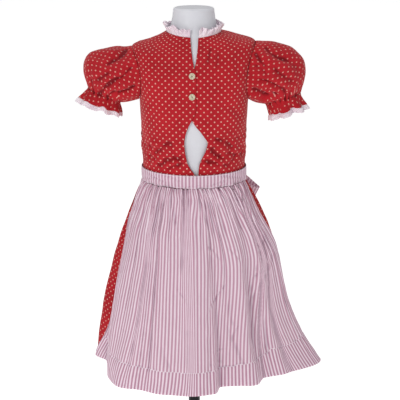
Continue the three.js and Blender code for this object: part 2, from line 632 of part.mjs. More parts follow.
// ---------------------------------------------------------------- buttons
const BUTTON = { rimHeight: 2.6, dish: 0.9, rimWidth: 1.6, x: -2.6 };
function buttonProfile() {
  const radius = BUTTON_DIAMETER / 2;
  const rimRadius = BUTTON.rimWidth / 2;
  const dishRadius = radius - BUTTON.rimWidth;
  const rimRound = steps(0, Math.PI, 4).map((turn) => new THREE.Vector2(
    radius - rimRadius + rimRadius * Math.cos(turn),
    BUTTON.rimHeight - rimRadius + rimRadius * Math.sin(turn)));
  return [
    new THREE.Vector2(0, 0),
    new THREE.Vector2(radius - rimRadius, 0),
    ...rimRound,
    new THREE.Vector2(dishRadius, BUTTON.rimHeight - BUTTON.dish),
    new THREE.Vector2(0, BUTTON.rimHeight - BUTTON.dish),
  ];
}
const levelAtFront = curve(TORSO.filter((row) => row.level >= 0), "frontZ", "level");
const buttons = BUTTON_HEIGHTS.map((height, i) => {
  const level = levelAtFront(height);
  const angle = frontAngle(BUTTON.x, level);
  const outward = torsoNormal(angle, level);
  const button = new THREE.Mesh(new THREE.LatheGeometry(buttonProfile(), 16), hornButton);
  button.name = ["button_upper", "button_lower"][i];
  button.quaternion.setFromUnitVectors(new THREE.Vector3(0, 1, 0), outward);
  button.position.copy(torso(angle, level)).addScaledVector(outward, SEAM_GAP + 0.1);
  return button;
});

// ---------------------------------------------------------------- dress form
// The form follows the torso inside the bodice, looser below the chest and close at the shoulders.
// At the front centre it keeps clear of the overlapping fronts.
const FORM_EASE = named(
  ["level", "around", "frontCentre"],
  [
    [-3, 5, 5], [0, 5, 5], [1, 5, 5], [2, 4.6, 4.6], [3, 3.6, 4.2],
    [4, 2.8, 3.9], [5.5, 2.1, 3.7], [6, 1.9, 3.4], [7, 0.5, 0.5], [8, 0, 0],
  ],
);
const easeAround = curve(FORM_EASE, "level", "around");
const easeAtFront = curve(FORM_EASE, "level", "frontCentre");
const formEase = (angle, level) =>
  mix(easeAround(level), easeAtFront(level), smooth(0.78, 0.92, Math.cos(radians(angle))));
const FORM_COLUMNS = 24;
const NECK_ROUND = 5; // radius of the neck's top edge
const formLevels = [
  -3, -2, -1,
  ...bodiceLevels.filter((level, i) => level >= ARMHOLE.level || i % 2 === 0),
  6.5, 7, 8,
];
const formPoint = (angle, level) =>
  torso(angle, level).addScaledVector(torsoNormal(angle, level), -formEase(angle, level));
function dressForm() {
  const angles = range(FORM_COLUMNS).map((i) => (360 * i) / FORM_COLUMNS);
  const rings = formLevels.map((level) => angles.map((angle) => formPoint(angle, level)));
  rings[0].forEach((point) => point.setZ(FORM_BOTTOM));
  const topRing = rings[rings.length - 1];
  for (const turn of steps(0, Math.PI / 2, 4).slice(1)) {
    const inset = NECK_ROUND * (1 - Math.cos(turn));
    rings.push(topRing.map((point) => {
      const reach = Math.hypot(point.x, point.y);
      const scale = (reach - inset) / reach;
      const z = FORM_TOP - NECK_ROUND + NECK_ROUND * Math.sin(turn);
      return new THREE.Vector3(point.x * scale, point.y * scale, z);
    }));
  }
  const points = rings.flat();
  const bottom = points.push(new THREE.Vector3(0, 0, FORM_BOTTOM)) - 1;
  const top = points.push(new THREE.Vector3(0, 0, FORM_TOP)) - 1;
  const at = (i, j) => j * FORM_COLUMNS + (i % FORM_COLUMNS);
  const last = rings.length - 1;
  const triangles = [];
  for (const i of range(FORM_COLUMNS)) {
    for (const j of range(last)) {
      triangles.push(at(i, j), at(i + 1, j), at(i + 1, j + 1));
      triangles.push(at(i, j), at(i + 1, j + 1), at(i, j + 1));
    }
    triangles.push(bottom, at(i + 1, 0), at(i, 0));
    triangles.push(top, at(i, last), at(i + 1, last));
  }
  return meshOf("dress_form", points, triangles, formShell);
}

// ---------------------------------------------------------------- stand
const STAND_SIDES = 24;
function turned(name, profile, sides = STAND_SIDES) {
  const points = profile.map(([radius, z]) => new THREE.Vector2(radius, z));
  const mesh = new THREE.Mesh(new THREE.LatheGeometry(points, sides), darkSteel);
  mesh.name = name;
  mesh.rotation.x = Math.PI / 2;
  return mesh;
}
const baseRadius = BASE_DIAMETER / 2;
const BASE_ROUND = 5;
const BASE_SIDES = 36;
const SOCKET = { radius: 17, footRadius: 25, footHeight: 4, shoulder: 10, height: 34 };
const COLLAR = { radius: 17, headRadius: 28, headHeight: 4, height: 26 };
const POLE_CLEARANCE = 0.35;
const poleRadius = POLE_DIAMETER / 2;
const bore = poleRadius + POLE_CLEARANCE;
const poleFoot = BASE_THICKNESS + SEAM_GAP;
const poleTop = FORM_BOTTOM - SEAM_GAP;
const stand = [
  turned("stand_base", [
    [0, 0],
    [baseRadius - 1, 0],
    [baseRadius, 1.2],
    ...steps(0, 90, 3).map((turn) => [
      baseRadius - BASE_ROUND * (1 - Math.cos(radians(turn))),
      BASE_THICKNESS - BASE_ROUND * (1 - Math.sin(radians(turn))),
    ]),
    [0, BASE_THICKNESS],
  ], BASE_SIDES),
  turned("pole_socket", [
    [bore, poleFoot],
    [SOCKET.footRadius, poleFoot],
    [SOCKET.footRadius, poleFoot + SOCKET.footHeight],
    [SOCKET.radius + 2, poleFoot + SOCKET.shoulder],
    [SOCKET.radius, poleFoot + SOCKET.height],
    [bore, poleFoot + SOCKET.height],
    [bore, poleFoot],
  ]),
  turned("stand_pole", [
    [0, poleFoot],
    [poleRadius, poleFoot],
    [poleRadius, poleTop],
    [0, poleTop],
  ]),
  turned("form_collar", [
    [bore, poleTop - COLLAR.height],
    [COLLAR.radius, poleTop - COLLAR.height],
    [COLLAR.radius + 3, poleTop - COLLAR.height + COLLAR.headHeight],
    [COLLAR.headRadius, poleTop - COLLAR.headHeight],
    [COLLAR.headRadius, poleTop],
    [bore, poleTop],
    [bore, poleTop - COLLAR.height],
  ]),
];

// ---------------------------------------------------------------- the whole object
const dirndl = new THREE.Group();
dirndl.name = "dirndl_on_dress_form";
dirndl.add(
  ...bodice, ...sleeves, neckRuffle, ...skirt, apronPanel, ...bands, ...bowLoops, ...tails, knot,
  ...buttons, dressForm(), ...stand,
);

export default dirndl;
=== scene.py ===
import math
import bmesh
import bpy
import numpy as np
from mathutils import Matrix, Vector


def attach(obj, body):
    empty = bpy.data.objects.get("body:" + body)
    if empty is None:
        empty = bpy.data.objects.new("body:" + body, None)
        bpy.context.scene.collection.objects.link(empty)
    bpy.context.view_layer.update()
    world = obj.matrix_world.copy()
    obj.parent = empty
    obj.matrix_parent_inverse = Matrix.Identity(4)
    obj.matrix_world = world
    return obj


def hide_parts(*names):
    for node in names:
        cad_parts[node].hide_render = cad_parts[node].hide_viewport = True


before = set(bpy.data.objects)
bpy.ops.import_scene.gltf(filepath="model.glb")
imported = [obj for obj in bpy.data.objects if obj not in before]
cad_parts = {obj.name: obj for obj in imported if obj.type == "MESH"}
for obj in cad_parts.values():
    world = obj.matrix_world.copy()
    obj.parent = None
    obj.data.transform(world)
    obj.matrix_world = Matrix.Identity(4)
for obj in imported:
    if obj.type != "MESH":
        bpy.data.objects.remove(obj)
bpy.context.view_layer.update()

# A child's dirndl with a striped apron on a limbless dress form. Shapes are worked out in
# millimetres and made in metres. The front faces -Y, and left and right are the wearer's.
mm = 0.001


def mix(a, b, t):
    return a + (b - a) * t


def smooth(low, high, x):
    t = np.clip((x - low) / (high - low), 0, 1)
    return t * t * (3 - 2 * t)


def bell(x, width):
    return np.exp(-(x / width) ** 2)


def rowSteps(low, high, count):
    return np.linspace(low, high, count + 1)[:, None]


def columnSteps(low, high, count):
    return np.linspace(low, high, count + 1)[None, :]


def vectors(*parts):
    return np.stack(np.broadcast_arrays(*parts), axis=-1).astype(float)


def unit(arrows):
    return arrows / (np.linalg.norm(arrows, axis=-1, keepdims=True) + 1e-12)


def smoothCurve(xs, ys, period=0):
    # a curve through a table, with no overshoot between its rows
    xs, ys = np.array(xs, float), np.array(ys, float)
    if period:
        xs, ys = np.concatenate([xs - period, xs, xs + period]), np.tile(ys, 3)
    secants = np.diff(ys) / np.diff(xs)
    before = np.concatenate([secants[:1], secants])
    after = np.concatenate([secants, secants[-1:]])
    rising = before * after > 0
    slopes = np.where(rising, 2 * before * after / np.where(rising, before + after, 1), 0)

    def at(x):
        x = np.asarray(x, float)
        i = np.clip(np.searchsorted(xs, x, side="right") - 1, 0, len(xs) - 2)
        width = xs[i + 1] - xs[i]
        t = np.clip((x - xs[i]) / width, 0, 1)
        rest = 1 - t
        return (ys[i] * (1 + 2 * t) * rest * rest + ys[i + 1] * t * t * (3 - 2 * t)
                + width * (slopes[i] * t * rest * rest - slopes[i + 1] * t * t * rest))
    return at


def columnsOf(settings):
    # one curve for each column of a table, against its first column
    table = np.array(settings["rows"], float)
    names = settings["columns"].split()
    return {name: smoothCurve(table[:, 0], table[:, i], settings.get("period", 0))
            for i, name in enumerate(names) if i > 0}


def gridNormals(points, side=1, loop=False):
    across = np.gradient(points, axis=1)
    if loop:
        across[:, 0] = across[:, -1] = (points[:, 1] - points[:, -2]) / 2
    return unit(np.cross(across, np.gradient(points, axis=0))) * side


def raised(points, relief, side=1, loop=False):
    return points + gridNormals(points, side, loop) * relief[..., None]


def lengthAlong(points, axis):
    steps = np.linalg.norm(np.diff(points, axis=axis), axis=2)
    return np.insert(np.cumsum(steps, axis=axis), 0, 0, axis=axis)


def softNoise(x, y, cell, seed, period=0):
    # smooth waves between -1 and 1, about one cell across
    size = 64
    lattice = np.random.default_rng(seed).uniform(-1, 1, (size, size))
    gx, gy = np.asarray(x, float) / cell, np.asarray(y, float) / cell
    ix, iy = np.floor(gx).astype(int), np.floor(gy).astype(int)
    tx, ty = smooth(0, 1, gx - ix), smooth(0, 1, gy - iy)
    wrap = max(1, round(period / cell)) if period else size
    cellAt = lambda a, b: lattice[(ix + a) % wrap % size, (iy + b) % size]
    return mix(mix(cellAt(0, 0), cellAt(1, 0), tx), mix(cellAt(0, 1), cellAt(1, 1), tx), ty)


def boxBlur(grid, axis, radius, wrap):
    if radius < 1:
        return grid
    pad = [(0, 0)] * grid.ndim
    pad[axis] = (radius + 1, radius)
    total = np.cumsum(np.pad(grid, pad, mode="wrap" if wrap else "edge"), axis=axis)
    count, span = grid.shape[axis], 2 * radius + 1
    return (np.take(total, range(span, span + count), axis=axis)
            - np.take(total, range(count), axis=axis)) / span


def hollowness(points, side, loop, reach):
    # how far each place lies below the cloth around it, in mm
    across = np.linalg.norm(np.diff(points, axis=1), axis=2).mean()
    down = np.linalg.norm(np.diff(points, axis=0), axis=2).mean()
    spread = boxBlur(boxBlur(points, 1, round(reach / across), loop), 0, round(reach / down), False)
    return np.sum((spread - points) * gridNormals(points, side, loop), axis=2)


def addObject(name, mould, finish, sharp=None):
    mesh = bpy.data.meshes.new(name)
    mould.to_mesh(mesh)
    mould.free()
    if sharp:
        mesh.set_sharp_from_angle(angle=math.radians(sharp))
    mesh.materials.append(finish)
    thing = bpy.data.objects.new(name, mesh)
    bpy.context.collection.objects.link(thing)
    return thing


def addPiece(name, node, mould, finish, sharp=None):
    piece = addObject(name, mould, finish, sharp)
    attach(piece, "root")
    if node:
        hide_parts(node)
    return piece


def layGrid(mould, points):
    # puts a grid's corners at the points, and tells the row and column of each corner
    rows, columns = points.shape[0] - 1, points.shape[1] - 1
    bmesh.ops.create_grid(mould, x_segments=columns, y_segments=rows, size=0.5)
    places = {vert: (round((vert.co.y + 0.5) * rows), round((vert.co.x + 0.5) * columns))
              for vert in mould.verts}
    for vert, place in places.items():
        vert.co = points[place] * mm
    return places


def smoothFaces(mould):
    for face in mould.faces:
        face.smooth = True


def clothPiece(name, node, points, cloth, finish, thickness, side=1, loop=False):
    # points and cloth are grids of rows: places in mm, and where each lies on the flat cloth in mm
    mould = bmesh.new()
    flatMap = mould.loops.layers.uv.new("cloth")
    depthMap = mould.verts.layers.float.new("hollow")
    places = layGrid(mould, points)
    # how far each place lies below the cloth around it, kept for the painted shade of its finish
    hollow = hollowness(points, side, loop, 3.5) + 0.6 * hollowness(points, side, loop, 9)
    smoothFaces(mould)
    for face in mould.faces:
        for corner in face.loops:
            corner[flatMap].uv = cloth[places[corner.vert]] * mm
    for vert, place in places.items():
        vert[depthMap] = hollow[place]
    if side < 0:
        bmesh.ops.reverse_faces(mould, faces=mould.faces)
    if loop:
        bmesh.ops.remove_doubles(mould, verts=mould.verts, dist=1e-6)
    piece = addPiece(name, node, mould, finish)
    wall = piece.modifiers.new("wall", "SOLIDIFY")
    wall.thickness, wall.offset, wall.use_quality_normals = thickness * mm, -1, True
    return piece


def spreadGathers(count, seed, narrow, widen=(1, 8), powers=(0.8, 1.5)):
    # Gathers at uneven places across half of a cloth, from its middle to its edge. Each takes up its
    # own share of the surplus. Away from its seam it opens out as power says, and grows wider and
    # softer as widen says.
    rng = np.random.default_rng(seed)
    return {
        "place": (np.arange(count) + 0.5 + rng.uniform(-0.38, 0.38, count)) / count,
        "share": rng.uniform(0.4, 1.6, count),
        "power": rng.uniform(*powers, count),
        "narrow": narrow * rng.uniform(0.75, 1.4, count),
        "widen": rng.uniform(*widen, count),
    }


def gatherHalf(along, halfWidth, gathers, depth, ridge, active):
    # along is how far each place is from the cloth's middle, in mm
    even = along[:, -1:]
    if active is None:  # the surplus changes evenly from row to row
        rows = np.arange(len(along))
        even = np.polyval(np.polyfit(rows, along[:, -1], 3), rows)[:, None]
        along = along * even / along[:, -1:]
    hidden = np.clip(halfWidth - even, 0, None)
    openness = hidden / max(float(hidden.max()), 1)
    taken = gathers["share"][:, None, None] * openness ** gathers["power"][:, None, None]
    if active is not None:
        taken = taken * active
    taken = taken * hidden / (taken.sum(axis=0) + 1e-9)
    before = np.cumsum(taken, axis=0) - taken
    across, relief = along.copy(), np.zeros_like(along)
    for place, narrow, widen, used, past in zip(
            gathers["place"], gathers["narrow"], gathers["widen"], taken, before):
        width = narrow * (1 + widen * (1 - openness))
        away = along - (halfWidth * place - past - used / 2)
        across = across + used * smooth(-1.6 * width, 1.6 * width, away)
        sink = depth * (1 - np.exp(-used / 4.5)) * (narrow / width) ** 0.55
        relief = relief - sink * bell(away, width)
        relief = relief + ridge * sink * bell(np.abs(away) - 2.4 * width, 1.4 * width)
    return across, relief


def gatherCloth(points, side, flatWidth, halves, depth, ridge=0.5, loop=False, active=(None, None)):
    # Pinches the rows of a smooth sheet together. Cloth that is wider than its row goes into the
    # gathers: the pattern runs into them there, and the sheet sinks. It returns the new places, and
    # how far across the flat cloth each one lies, from its middle.
    middle = points.shape[1] // 2
    along = lengthAlong(points, 1)
    along = along - along[:, middle:middle + 1]
    sides = (-along[:, middle::-1], along[:, middle:])
    (low, lowRelief), (high, highRelief) = (
        gatherHalf(part, flatWidth / 2, gathers, depth, ridge, used)
        for part, gathers, used in zip(sides, halves, active))
    across = np.concatenate([-low[:, :0:-1], high], axis=1)
    relief = np.concatenate([lowRelief[:, :0:-1], highRelief], axis=1)
    if loop:
        relief[:, 0] = relief[:, -1] = (relief[:, 0] + relief[:, -1]) / 2
    return raised(points, relief, side, loop), across


def evenPattern(points, cloth, step=6, rounds=500):
    # lets the pattern settle until it is neither sheared nor stretched on the form
    spots = [np.unique(np.append(np.arange(0, count, step), count - 1)) for count in points.shape[:2]]
    form, flat = points[np.ix_(*spots)], cloth[np.ix_(*spots)].copy()
    every, later, sooner = slice(None), slice(1, None), slice(None, -1)
    links = [((every, later), (every, sooner)), ((later, every), (sooner, every)),
             ((later, later), (sooner, sooner)), ((later, sooner), (sooner, later))]
    lengths = [np.linalg.norm(form[a] - form[b], axis=2) for a, b in links]
    speed = np.zeros_like(flat)
    for _ in range(rounds):
        push = np.zeros_like(flat)
        for (a, b), length in zip(links, lengths):
            gap = flat[a] - flat[b]
            move = gap * (0.5 - 0.5 * length / (np.linalg.norm(gap, axis=2) + 1e-9))[..., None]
            push[a] -= move
            push[b] += move
        speed = 0.93 * speed + 0.1 * push
        flat += speed
    shares = [np.stack([np.interp(np.arange(count), at, row) for row in np.eye(len(at))])
              for count, at in zip(points.shape[:2], spots)]
    return np.einsum("ri,rcd,cj->ijd", shares[0], flat, shares[1])


def creaseSheet(points, creases, side=1, loop=False):
    # Soft folds, given one by one. Each is a line seen from the front or the back: from x, z, to x, z, how
    # far its middle is bowed sideways, width, depth. Below 0 it is a trough with a low ridge beside it.
    facing = -gridNormals(points, side, loop)[..., 1]
    relief = np.zeros(points.shape[:2])
    for seenFrom, rows in creases.items():
        seen = smooth(-0.05, 0.35, facing if seenFrom == "front" else -facing)
        for x0, z0, x1, z1, bow, width, depth in rows:
            length = math.hypot(x1 - x0, z1 - z0)
            ax, az = (x1 - x0) / length, (z1 - z0) / length
            relX, relZ = points[..., 0] - x0, points[..., 2] - z0
            t = (relX * ax + relZ * az) / length
            inside = np.clip(t, 0, 1)
            offset = relX * az - relZ * ax - bow * 4 * inside * (1 - inside)
            fade = (smooth(0, 0.25, inside) * (1 - 0.8 * smooth(0.72, 1, inside))
                    * bell((t - inside) * length, width))
            fold = bell(offset, width) - 0.5 * bell(offset - 1.9 * width, 1.3 * width)
            relief += depth * fold * fade * seen
    return raised(points, relief, side, loop)


def crumple(points, cloth, side, cell, depth, seed, loop=False, period=0):
    # slight unevenness, in three sizes
    u, v = cloth[..., 0], cloth[..., 1]
    relief = sum(depth / (1.7 ** k) * softNoise(u, v, cell / (1.9 ** k), seed + k, period) for k in range(3))
    if loop:
        relief[:, -1] = relief[:, 0]
    return raised(points, relief, side, loop)


def newFinish(name):
    finish = bpy.data.materials.new(name)
    finish.use_nodes = True
    return finish, finish.node_tree, finish.node_tree.nodes["Principled BSDF"]


def plug(tree, sockets, values):
    # each named socket is linked to an output, or set to a plain value
    for key, value in values.items():
        if isinstance(value, bpy.types.NodeSocket):
            tree.links.new(value, sockets[key])
        else:
            sockets[key].default_value = value


def addNode(tree, kind, inputs=None, **settings):
    node = tree.nodes.new("ShaderNode" + kind)
    for key, value in settings.items():
        setattr(node, key, value)
    plug(tree, node.inputs, inputs or {})
    return node


def mathNode(tree, operation, *values):
    return addNode(tree, "Math", dict(enumerate(values)), operation=operation).outputs[0]


def times(tree, a, b):
    return mathNode(tree, "MULTIPLY", a, b)


def oneLess(tree, value):
    return mathNode(tree, "SUBTRACT", 1.0, value)


def vectorNode(tree, operation, *values):
    node = addNode(tree, "VectorMath", dict(enumerate(values)), operation=operation)
    return node.outputs["Value" if operation == "LENGTH" else "Vector"]


def mixColour(tree, share, a, b, blend="MIX"):
    return addNode(tree, "Mix", {0: share, 6: a, 7: b}, data_type="RGBA", blend_type=blend).outputs[2]


def noiseNode(tree, place, scale, detail, output="Fac", **more):
    return addNode(tree, "TexNoise", {"Vector": place, "Scale": scale, "Detail": detail, **more}).outputs[output]


def rampStep(tree, value, low, high):
    return addNode(tree, "MapRange", {"Value": value, "From Min": low, "From Max": high},
                   interpolation_type="SMOOTHSTEP").outputs["Result"]


def ranged(tree, value, low, high):
    return addNode(tree, "MapRange", {"Value": value, "To Min": low, "To Max": high}).outputs["Result"]


def bumped(tree, height, strength, distance):
    return addNode(tree, "Bump", {"Strength": strength, "Distance": distance, "Height": height}).outputs[0]


def splitXyz(tree, vector):
    return addNode(tree, "SeparateXYZ", {"Vector": vector}).outputs


def objectPlace(tree):
    return addNode(tree, "TexCoord").outputs["Object"]


def clothPlace(tree):
    return addNode(tree, "UVMap", uv_map="cloth").outputs[0]


def linear(*levels):
    # an sRGB colour of 0 to 255 as a shader's colour
    shares = [level / 255 for level in levels]
    return (*(c / 12.92 if c <= 0.04045 else ((c + 0.055) / 1.055) ** 2.4 for c in shares), 1.0)


def newGroup(name, place, numbers, results):
    # a place and some numbers go in, and values come out
    group = bpy.data.node_groups.new(name, "ShaderNodeTree")
    group.interface.new_socket(place, in_out="INPUT", socket_type="NodeSocketVector")
    for label, value in numbers.items():
        socket = group.interface.new_socket(label, in_out="INPUT", socket_type="NodeSocketFloat")
        socket.default_value = value
    for label in results:
        group.interface.new_socket(label, in_out="OUTPUT", socket_type="NodeSocketFloat")
    return group, group.nodes.new("NodeGroupInput").outputs, group.nodes.new("NodeGroupOutput").inputs


def placeGroup(tree, group, **inputs):
    node = addNode(tree, "Group", node_tree=group)
    plug(tree, node.inputs, inputs)
    return node.outputs


def makeWeave():
    # plain weave with uneven threads: a height, and a value that shades the threads
    group, given, out = newGroup("cottonWeave", "Cloth", {"Thread": 0.0004}, ["Height", "Slub"])
    waves = [mathNode(group, "SINE", times(group, mathNode(group, "DIVIDE", part, given["Thread"]), math.pi))
             for part in splitXyz(group, given["Cloth"])[:2]]
    drawn = [noiseNode(group, vectorNode(group, "MULTIPLY", given["Cloth"], stretch), 1.0, 2.0)
             for stretch in ((900, 60, 1), (60, 900, 1))]
    slub = times(group, mathNode(group, "ADD", *drawn), 0.5)
    plug(group, out, {"Height": mathNode(group, "ADD", times(group, times(group, *waves), 0.35), slub),
                      "Slub": slub})
    return group


def makeDots():
    # a lattice of small dots, every other row set over by half, each with two dark specks beside it
    group, given, out = newGroup("scatteredDots", "Cloth", {"Pitch": 0.0121, "Radius": 0.00128},
                                 ["Dot", "Speck"])
    place = given["Cloth"]
    for scale, detail, reach in ((420.0, 2.0, 0.0011), (70.0, 1.0, 0.0016)):  # ragged edges, uneven rows
        noise = noiseNode(group, given["Cloth"], scale, detail, "Color")
        stray = vectorNode(group, "SUBTRACT", noise, (0.5, 0.5, 0.5))
        place = vectorNode(group, "ADD", place, vectorNode(group, "MULTIPLY", stray, (reach, reach, 0)))
    pitches = addNode(group, "CombineXYZ", {"X": given["Pitch"], "Y": given["Pitch"], "Z": 1.0}).outputs[0]

    def spots(offset, inner, outer):
        moved = vectorNode(group, "DIVIDE", vectorNode(group, "ADD", place, offset), pitches)
        lengths = []
        for half in ((0, 0, 0), (0.5, 0.5, 0)):
            part = vectorNode(group, "FRACTION", vectorNode(group, "ADD", moved, half))
            centred = vectorNode(group, "SUBTRACT", part, (0.5, 0.5, 0))
            lengths.append(vectorNode(group, "LENGTH", vectorNode(group, "MULTIPLY", centred, (1, 1, 0))))
        nearest = times(group, mathNode(group, "MINIMUM", *lengths), given["Pitch"])
        return oneLess(group, rampStep(group, nearest, inner, outer))

    dot = spots((0, 0, 0), *(mathNode(group, way, given["Radius"], 0.00028) for way in ("SUBTRACT", "ADD")))
    specks = [spots(offset, 0.0005, 0.0009) for offset in ((0.0021, 0.0008, 0), (-0.0019, 0.0012, 0))]
    plug(group, out, {"Dot": dot,
                      "Speck": times(group, mathNode(group, "MAXIMUM", *specks), oneLess(group, dot))})
    return group


def makeStripes():
    # stripes across the cloth's first direction, with soft, slightly wandering edges
    group, given, out = newGroup("wovenStripes", "Cloth", {"Pitch": 0.0064, "Width": 0.5}, ["Stripe", "Edge"])
    wander = noiseNode(group, vectorNode(group, "MULTIPLY", given["Cloth"], (900, 60, 1)), 1.0, 1.0)
    turns = mathNode(group, "DIVIDE", splitXyz(group, given["Cloth"])[0], given["Pitch"])
    turns = mathNode(group, "ADD", turns, times(group, wander, 0.07))
    away = mathNode(group, "ABSOLUTE", mathNode(group, "SUBTRACT", mathNode(group, "FRACT", turns), 0.5))
    half = times(group, given["Width"], 0.5)
    edges = [mathNode(group, way, half, 0.05) for way in ("SUBTRACT", "ADD")]
    rim = mathNode(group, "ABSOLUTE", mathNode(group, "SUBTRACT", away, half))
    plug(group, out, {"Stripe": oneLess(group, rampStep(group, away, *edges)),
                      "Edge": oneLess(group, rampStep(group, rim, 0.0, 0.07))})
    return group


def makeSlowTone():
    # slow changes of tone, as on washed cloth or a handled surface
    group, given, out = newGroup("slowTone", "Place", {"Scale": 14.0}, ["Tone"])
    plug(group, out, {"Tone": noiseNode(group, given["Place"], given["Scale"], 4.0, Roughness=0.6)})
    return group


weave, dots, stripes, slowTone = makeWeave(), makeDots(), makeStripes(), makeSlowTone()


def stitchMask(tree, cloth, line, stitch=0.0028, width=0.0005):
    # a row of stitches where the cloth's second direction passes one value
    parts = splitXyz(tree, cloth)
    away = mathNode(tree, "ABSOLUTE", mathNode(tree, "SUBTRACT", parts[1], line))
    row = oneLess(tree, rampStep(tree, away, width * 0.6, width * 1.2))
    beat = mathNode(tree, "FRACT", mathNode(tree, "DIVIDE", parts[0], stitch))
    gap = mathNode(tree, "ABSOLUTE", mathNode(tree, "SUBTRACT", beat, 0.5))
    return times(tree, row, oneLess(tree, rampStep(tree, gap, 0.36, 0.44)))


def sewLines(tree, cloth, colour, lines, share, stitchTone):
    # the colour with rows of stitches on it, and how far they sink into the cloth
    sewn = None
    for line in lines:
        row = stitchMask(tree, cloth, line)
        colour = mixColour(tree, times(tree, row, share), colour, stitchTone)
        sewn = row if sewn is None else mathNode(tree, "MAXIMUM", sewn, row)
    return colour, None if sewn is None else times(tree, sewn, -1.2)


def finishCotton(tree, shader, colour, tone, depth=0.00012, extra=None, shade=0.4):
    # painted shade: what lies below the cloth around it, in folds, creases and gathers, is painted darker
    hollow = addNode(tree, "Attribute", attribute_name="hollow").outputs["Fac"]
    colour = mixColour(tree, times(tree, rampStep(tree, hollow, 0.05, 2.0), shade), colour,
                       mixColour(tree, 1.0, colour, (0.42, 0.34, 0.42, 1), blend="MULTIPLY"))
    height = tone["Height"] if extra is None else mathNode(tree, "ADD", tone["Height"], extra)
    plug(tree, shader.inputs, {
        "Base Color": colour, "Normal": bumped(tree, height, 0.55, depth),
        "Roughness": ranged(tree, tone["Slub"], 0.78, 0.94),
        "Specular IOR Level": 0.18, "Sheen Weight": 0.07, "Sheen Roughness": 0.5})


redCotton = {
    "ground": linear(176, 20, 33), "deep": linear(158, 14, 27), "slub": linear(198, 50, 56),
    "dot": linear(234, 178, 164), "speck": linear(112, 62, 40), "stitch": linear(120, 14, 24),
    "pitch": 0.0121, "radius": 0.00128, "thread": 0.00042,
}


def makeRedCotton(name, stitchLines=(), shade=0.5, dotTone=0.83):
    finish, tree, shader = newFinish(name)
    cloth = clothPlace(tree)
    tone = placeGroup(tree, weave, Cloth=cloth, Thread=redCotton["thread"])
    worn = placeGroup(tree, slowTone, Place=cloth, Scale=22.0)["Tone"]
    marks = placeGroup(tree, dots, Cloth=cloth, Pitch=redCotton["pitch"], Radius=redCotton["radius"])
    colour = mixColour(tree, rampStep(tree, worn, 0.3, 0.7), redCotton["deep"], redCotton["ground"])
    for mask, share, hue in ((tone["Slub"], 0.3, "slub"), (marks["Speck"], 0.55, "speck"),
                             (marks["Dot"], dotTone, "dot")):
        colour = mixColour(tree, times(tree, mask, share), colour, redCotton[hue])
    colour, extra = sewLines(tree, cloth, colour, stitchLines, 0.6, redCotton["stitch"])
    finishCotton(tree, shader, colour, tone, extra=extra, shade=shade)
    return finish


apronCotton = {
    "pale": linear(234, 216, 226), "paleWorn": linear(216, 192, 206),
    "pink": linear(186, 139, 159), "pinkSlub": linear(204, 164, 182), "edge": linear(168, 122, 145),
    "hemPale": linear(236, 216, 228), "hemPink": linear(172, 116, 142), "hemShift": 0.0022,
    "stitch": linear(240, 228, 236), "shadeGrey": linear(140, 112, 126),
    "pitch": 0.0064, "width": 0.5, "thread": 0.0004,
}


def makeApronCotton(name, hemLine=None, stitchLines=(), shade=0.3, greyShade=0.0):
    finish, tree, shader = newFinish(name)
    cloth = pattern = clothPlace(tree)
    tone = placeGroup(tree, weave, Cloth=cloth, Thread=apronCotton["thread"])
    worn = placeGroup(tree, slowTone, Place=cloth, Scale=16.0)["Tone"]
    if hemLine is not None:  # the turned-up hem's own stripes show through, a little set over
        below = rampStep(tree, splitXyz(tree, cloth)[1], hemLine - 0.0003, hemLine + 0.0003)
        over = addNode(tree, "CombineXYZ", {"X": times(tree, below, apronCotton["hemShift"])})
        pattern = vectorNode(tree, "ADD", cloth, over.outputs[0])
    bands = placeGroup(tree, stripes, Cloth=pattern, Pitch=apronCotton["pitch"], Width=apronCotton["width"])
    pale = mixColour(tree, times(tree, worn, 0.35), apronCotton["pale"], apronCotton["paleWorn"])
    pink = mixColour(tree, times(tree, tone["Slub"], 0.5), apronCotton["pink"], apronCotton["pinkSlub"])
    colour = mixColour(tree, bands["Stripe"], pale, pink)
    colour = mixColour(tree, times(tree, bands["Edge"], 0.22), colour, apronCotton["edge"])
    if hemLine is not None:
        colour = mixColour(tree, times(tree, below, 0.3), colour, mixColour(
            tree, bands["Stripe"], apronCotton["hemPale"], apronCotton["hemPink"]))
    colour, extra = sewLines(tree, cloth, colour, stitchLines, 0.7, apronCotton["stitch"])
    # painted shade: the whole cloth is greyed by greyShade, for a copy that sits in less light
    colour = mixColour(tree, greyShade, colour, apronCotton["shadeGrey"])
    finishCotton(tree, shader, colour, tone, extra=extra, shade=shade)
    return finish


def makeLace():
    finish, tree, shader = newFinish("laceEdging")
    cloth = clothPlace(tree)
    worn = placeGroup(tree, slowTone, Place=cloth, Scale=40.0)["Tone"]
    eyelets = placeGroup(tree, dots, Cloth=cloth, Pitch=0.0034, Radius=0.00062)["Dot"]
    tone = placeGroup(tree, weave, Cloth=cloth, Thread=0.00035)
    colour = mixColour(tree, rampStep(tree, worn, 0.35, 0.7), linear(252, 242, 248), linear(236, 216, 227))
    # painted shade: the eyelet holes are painted darker
    colour = mixColour(tree, times(tree, eyelets, 0.6), colour, linear(168, 142, 158))
    finishCotton(tree, shader, colour, tone, 0.0003, extra=times(tree, eyelets, -1.5))
    return finish


def makeHorn():
    finish, tree, shader = newFinish("hornButton")
    veins = noiseNode(tree, objectPlace(tree), 320.0, 4.0, Distortion=1.5)
    plug(tree, shader.inputs, {
        "Base Color": mixColour(tree, rampStep(tree, veins, 0.35, 0.65), linear(222, 210, 186), linear(176, 168, 142)),
        "Roughness": ranged(tree, veins, 0.28, 0.5), "Normal": bumped(tree, veins, 0.3, 0.0001)})
    return finish


def makeThread():
    finish, tree, shader = newFinish("sewingThread")
    twist = addNode(tree, "TexWave", {"Vector": objectPlace(tree), "Scale": 900.0, "Distortion": 1.0})
    plug(tree, shader.inputs, {
        "Base Color": mixColour(tree, twist.outputs["Fac"], linear(120, 92, 72), linear(88, 66, 52)),
        "Roughness": 0.8})
    return finish


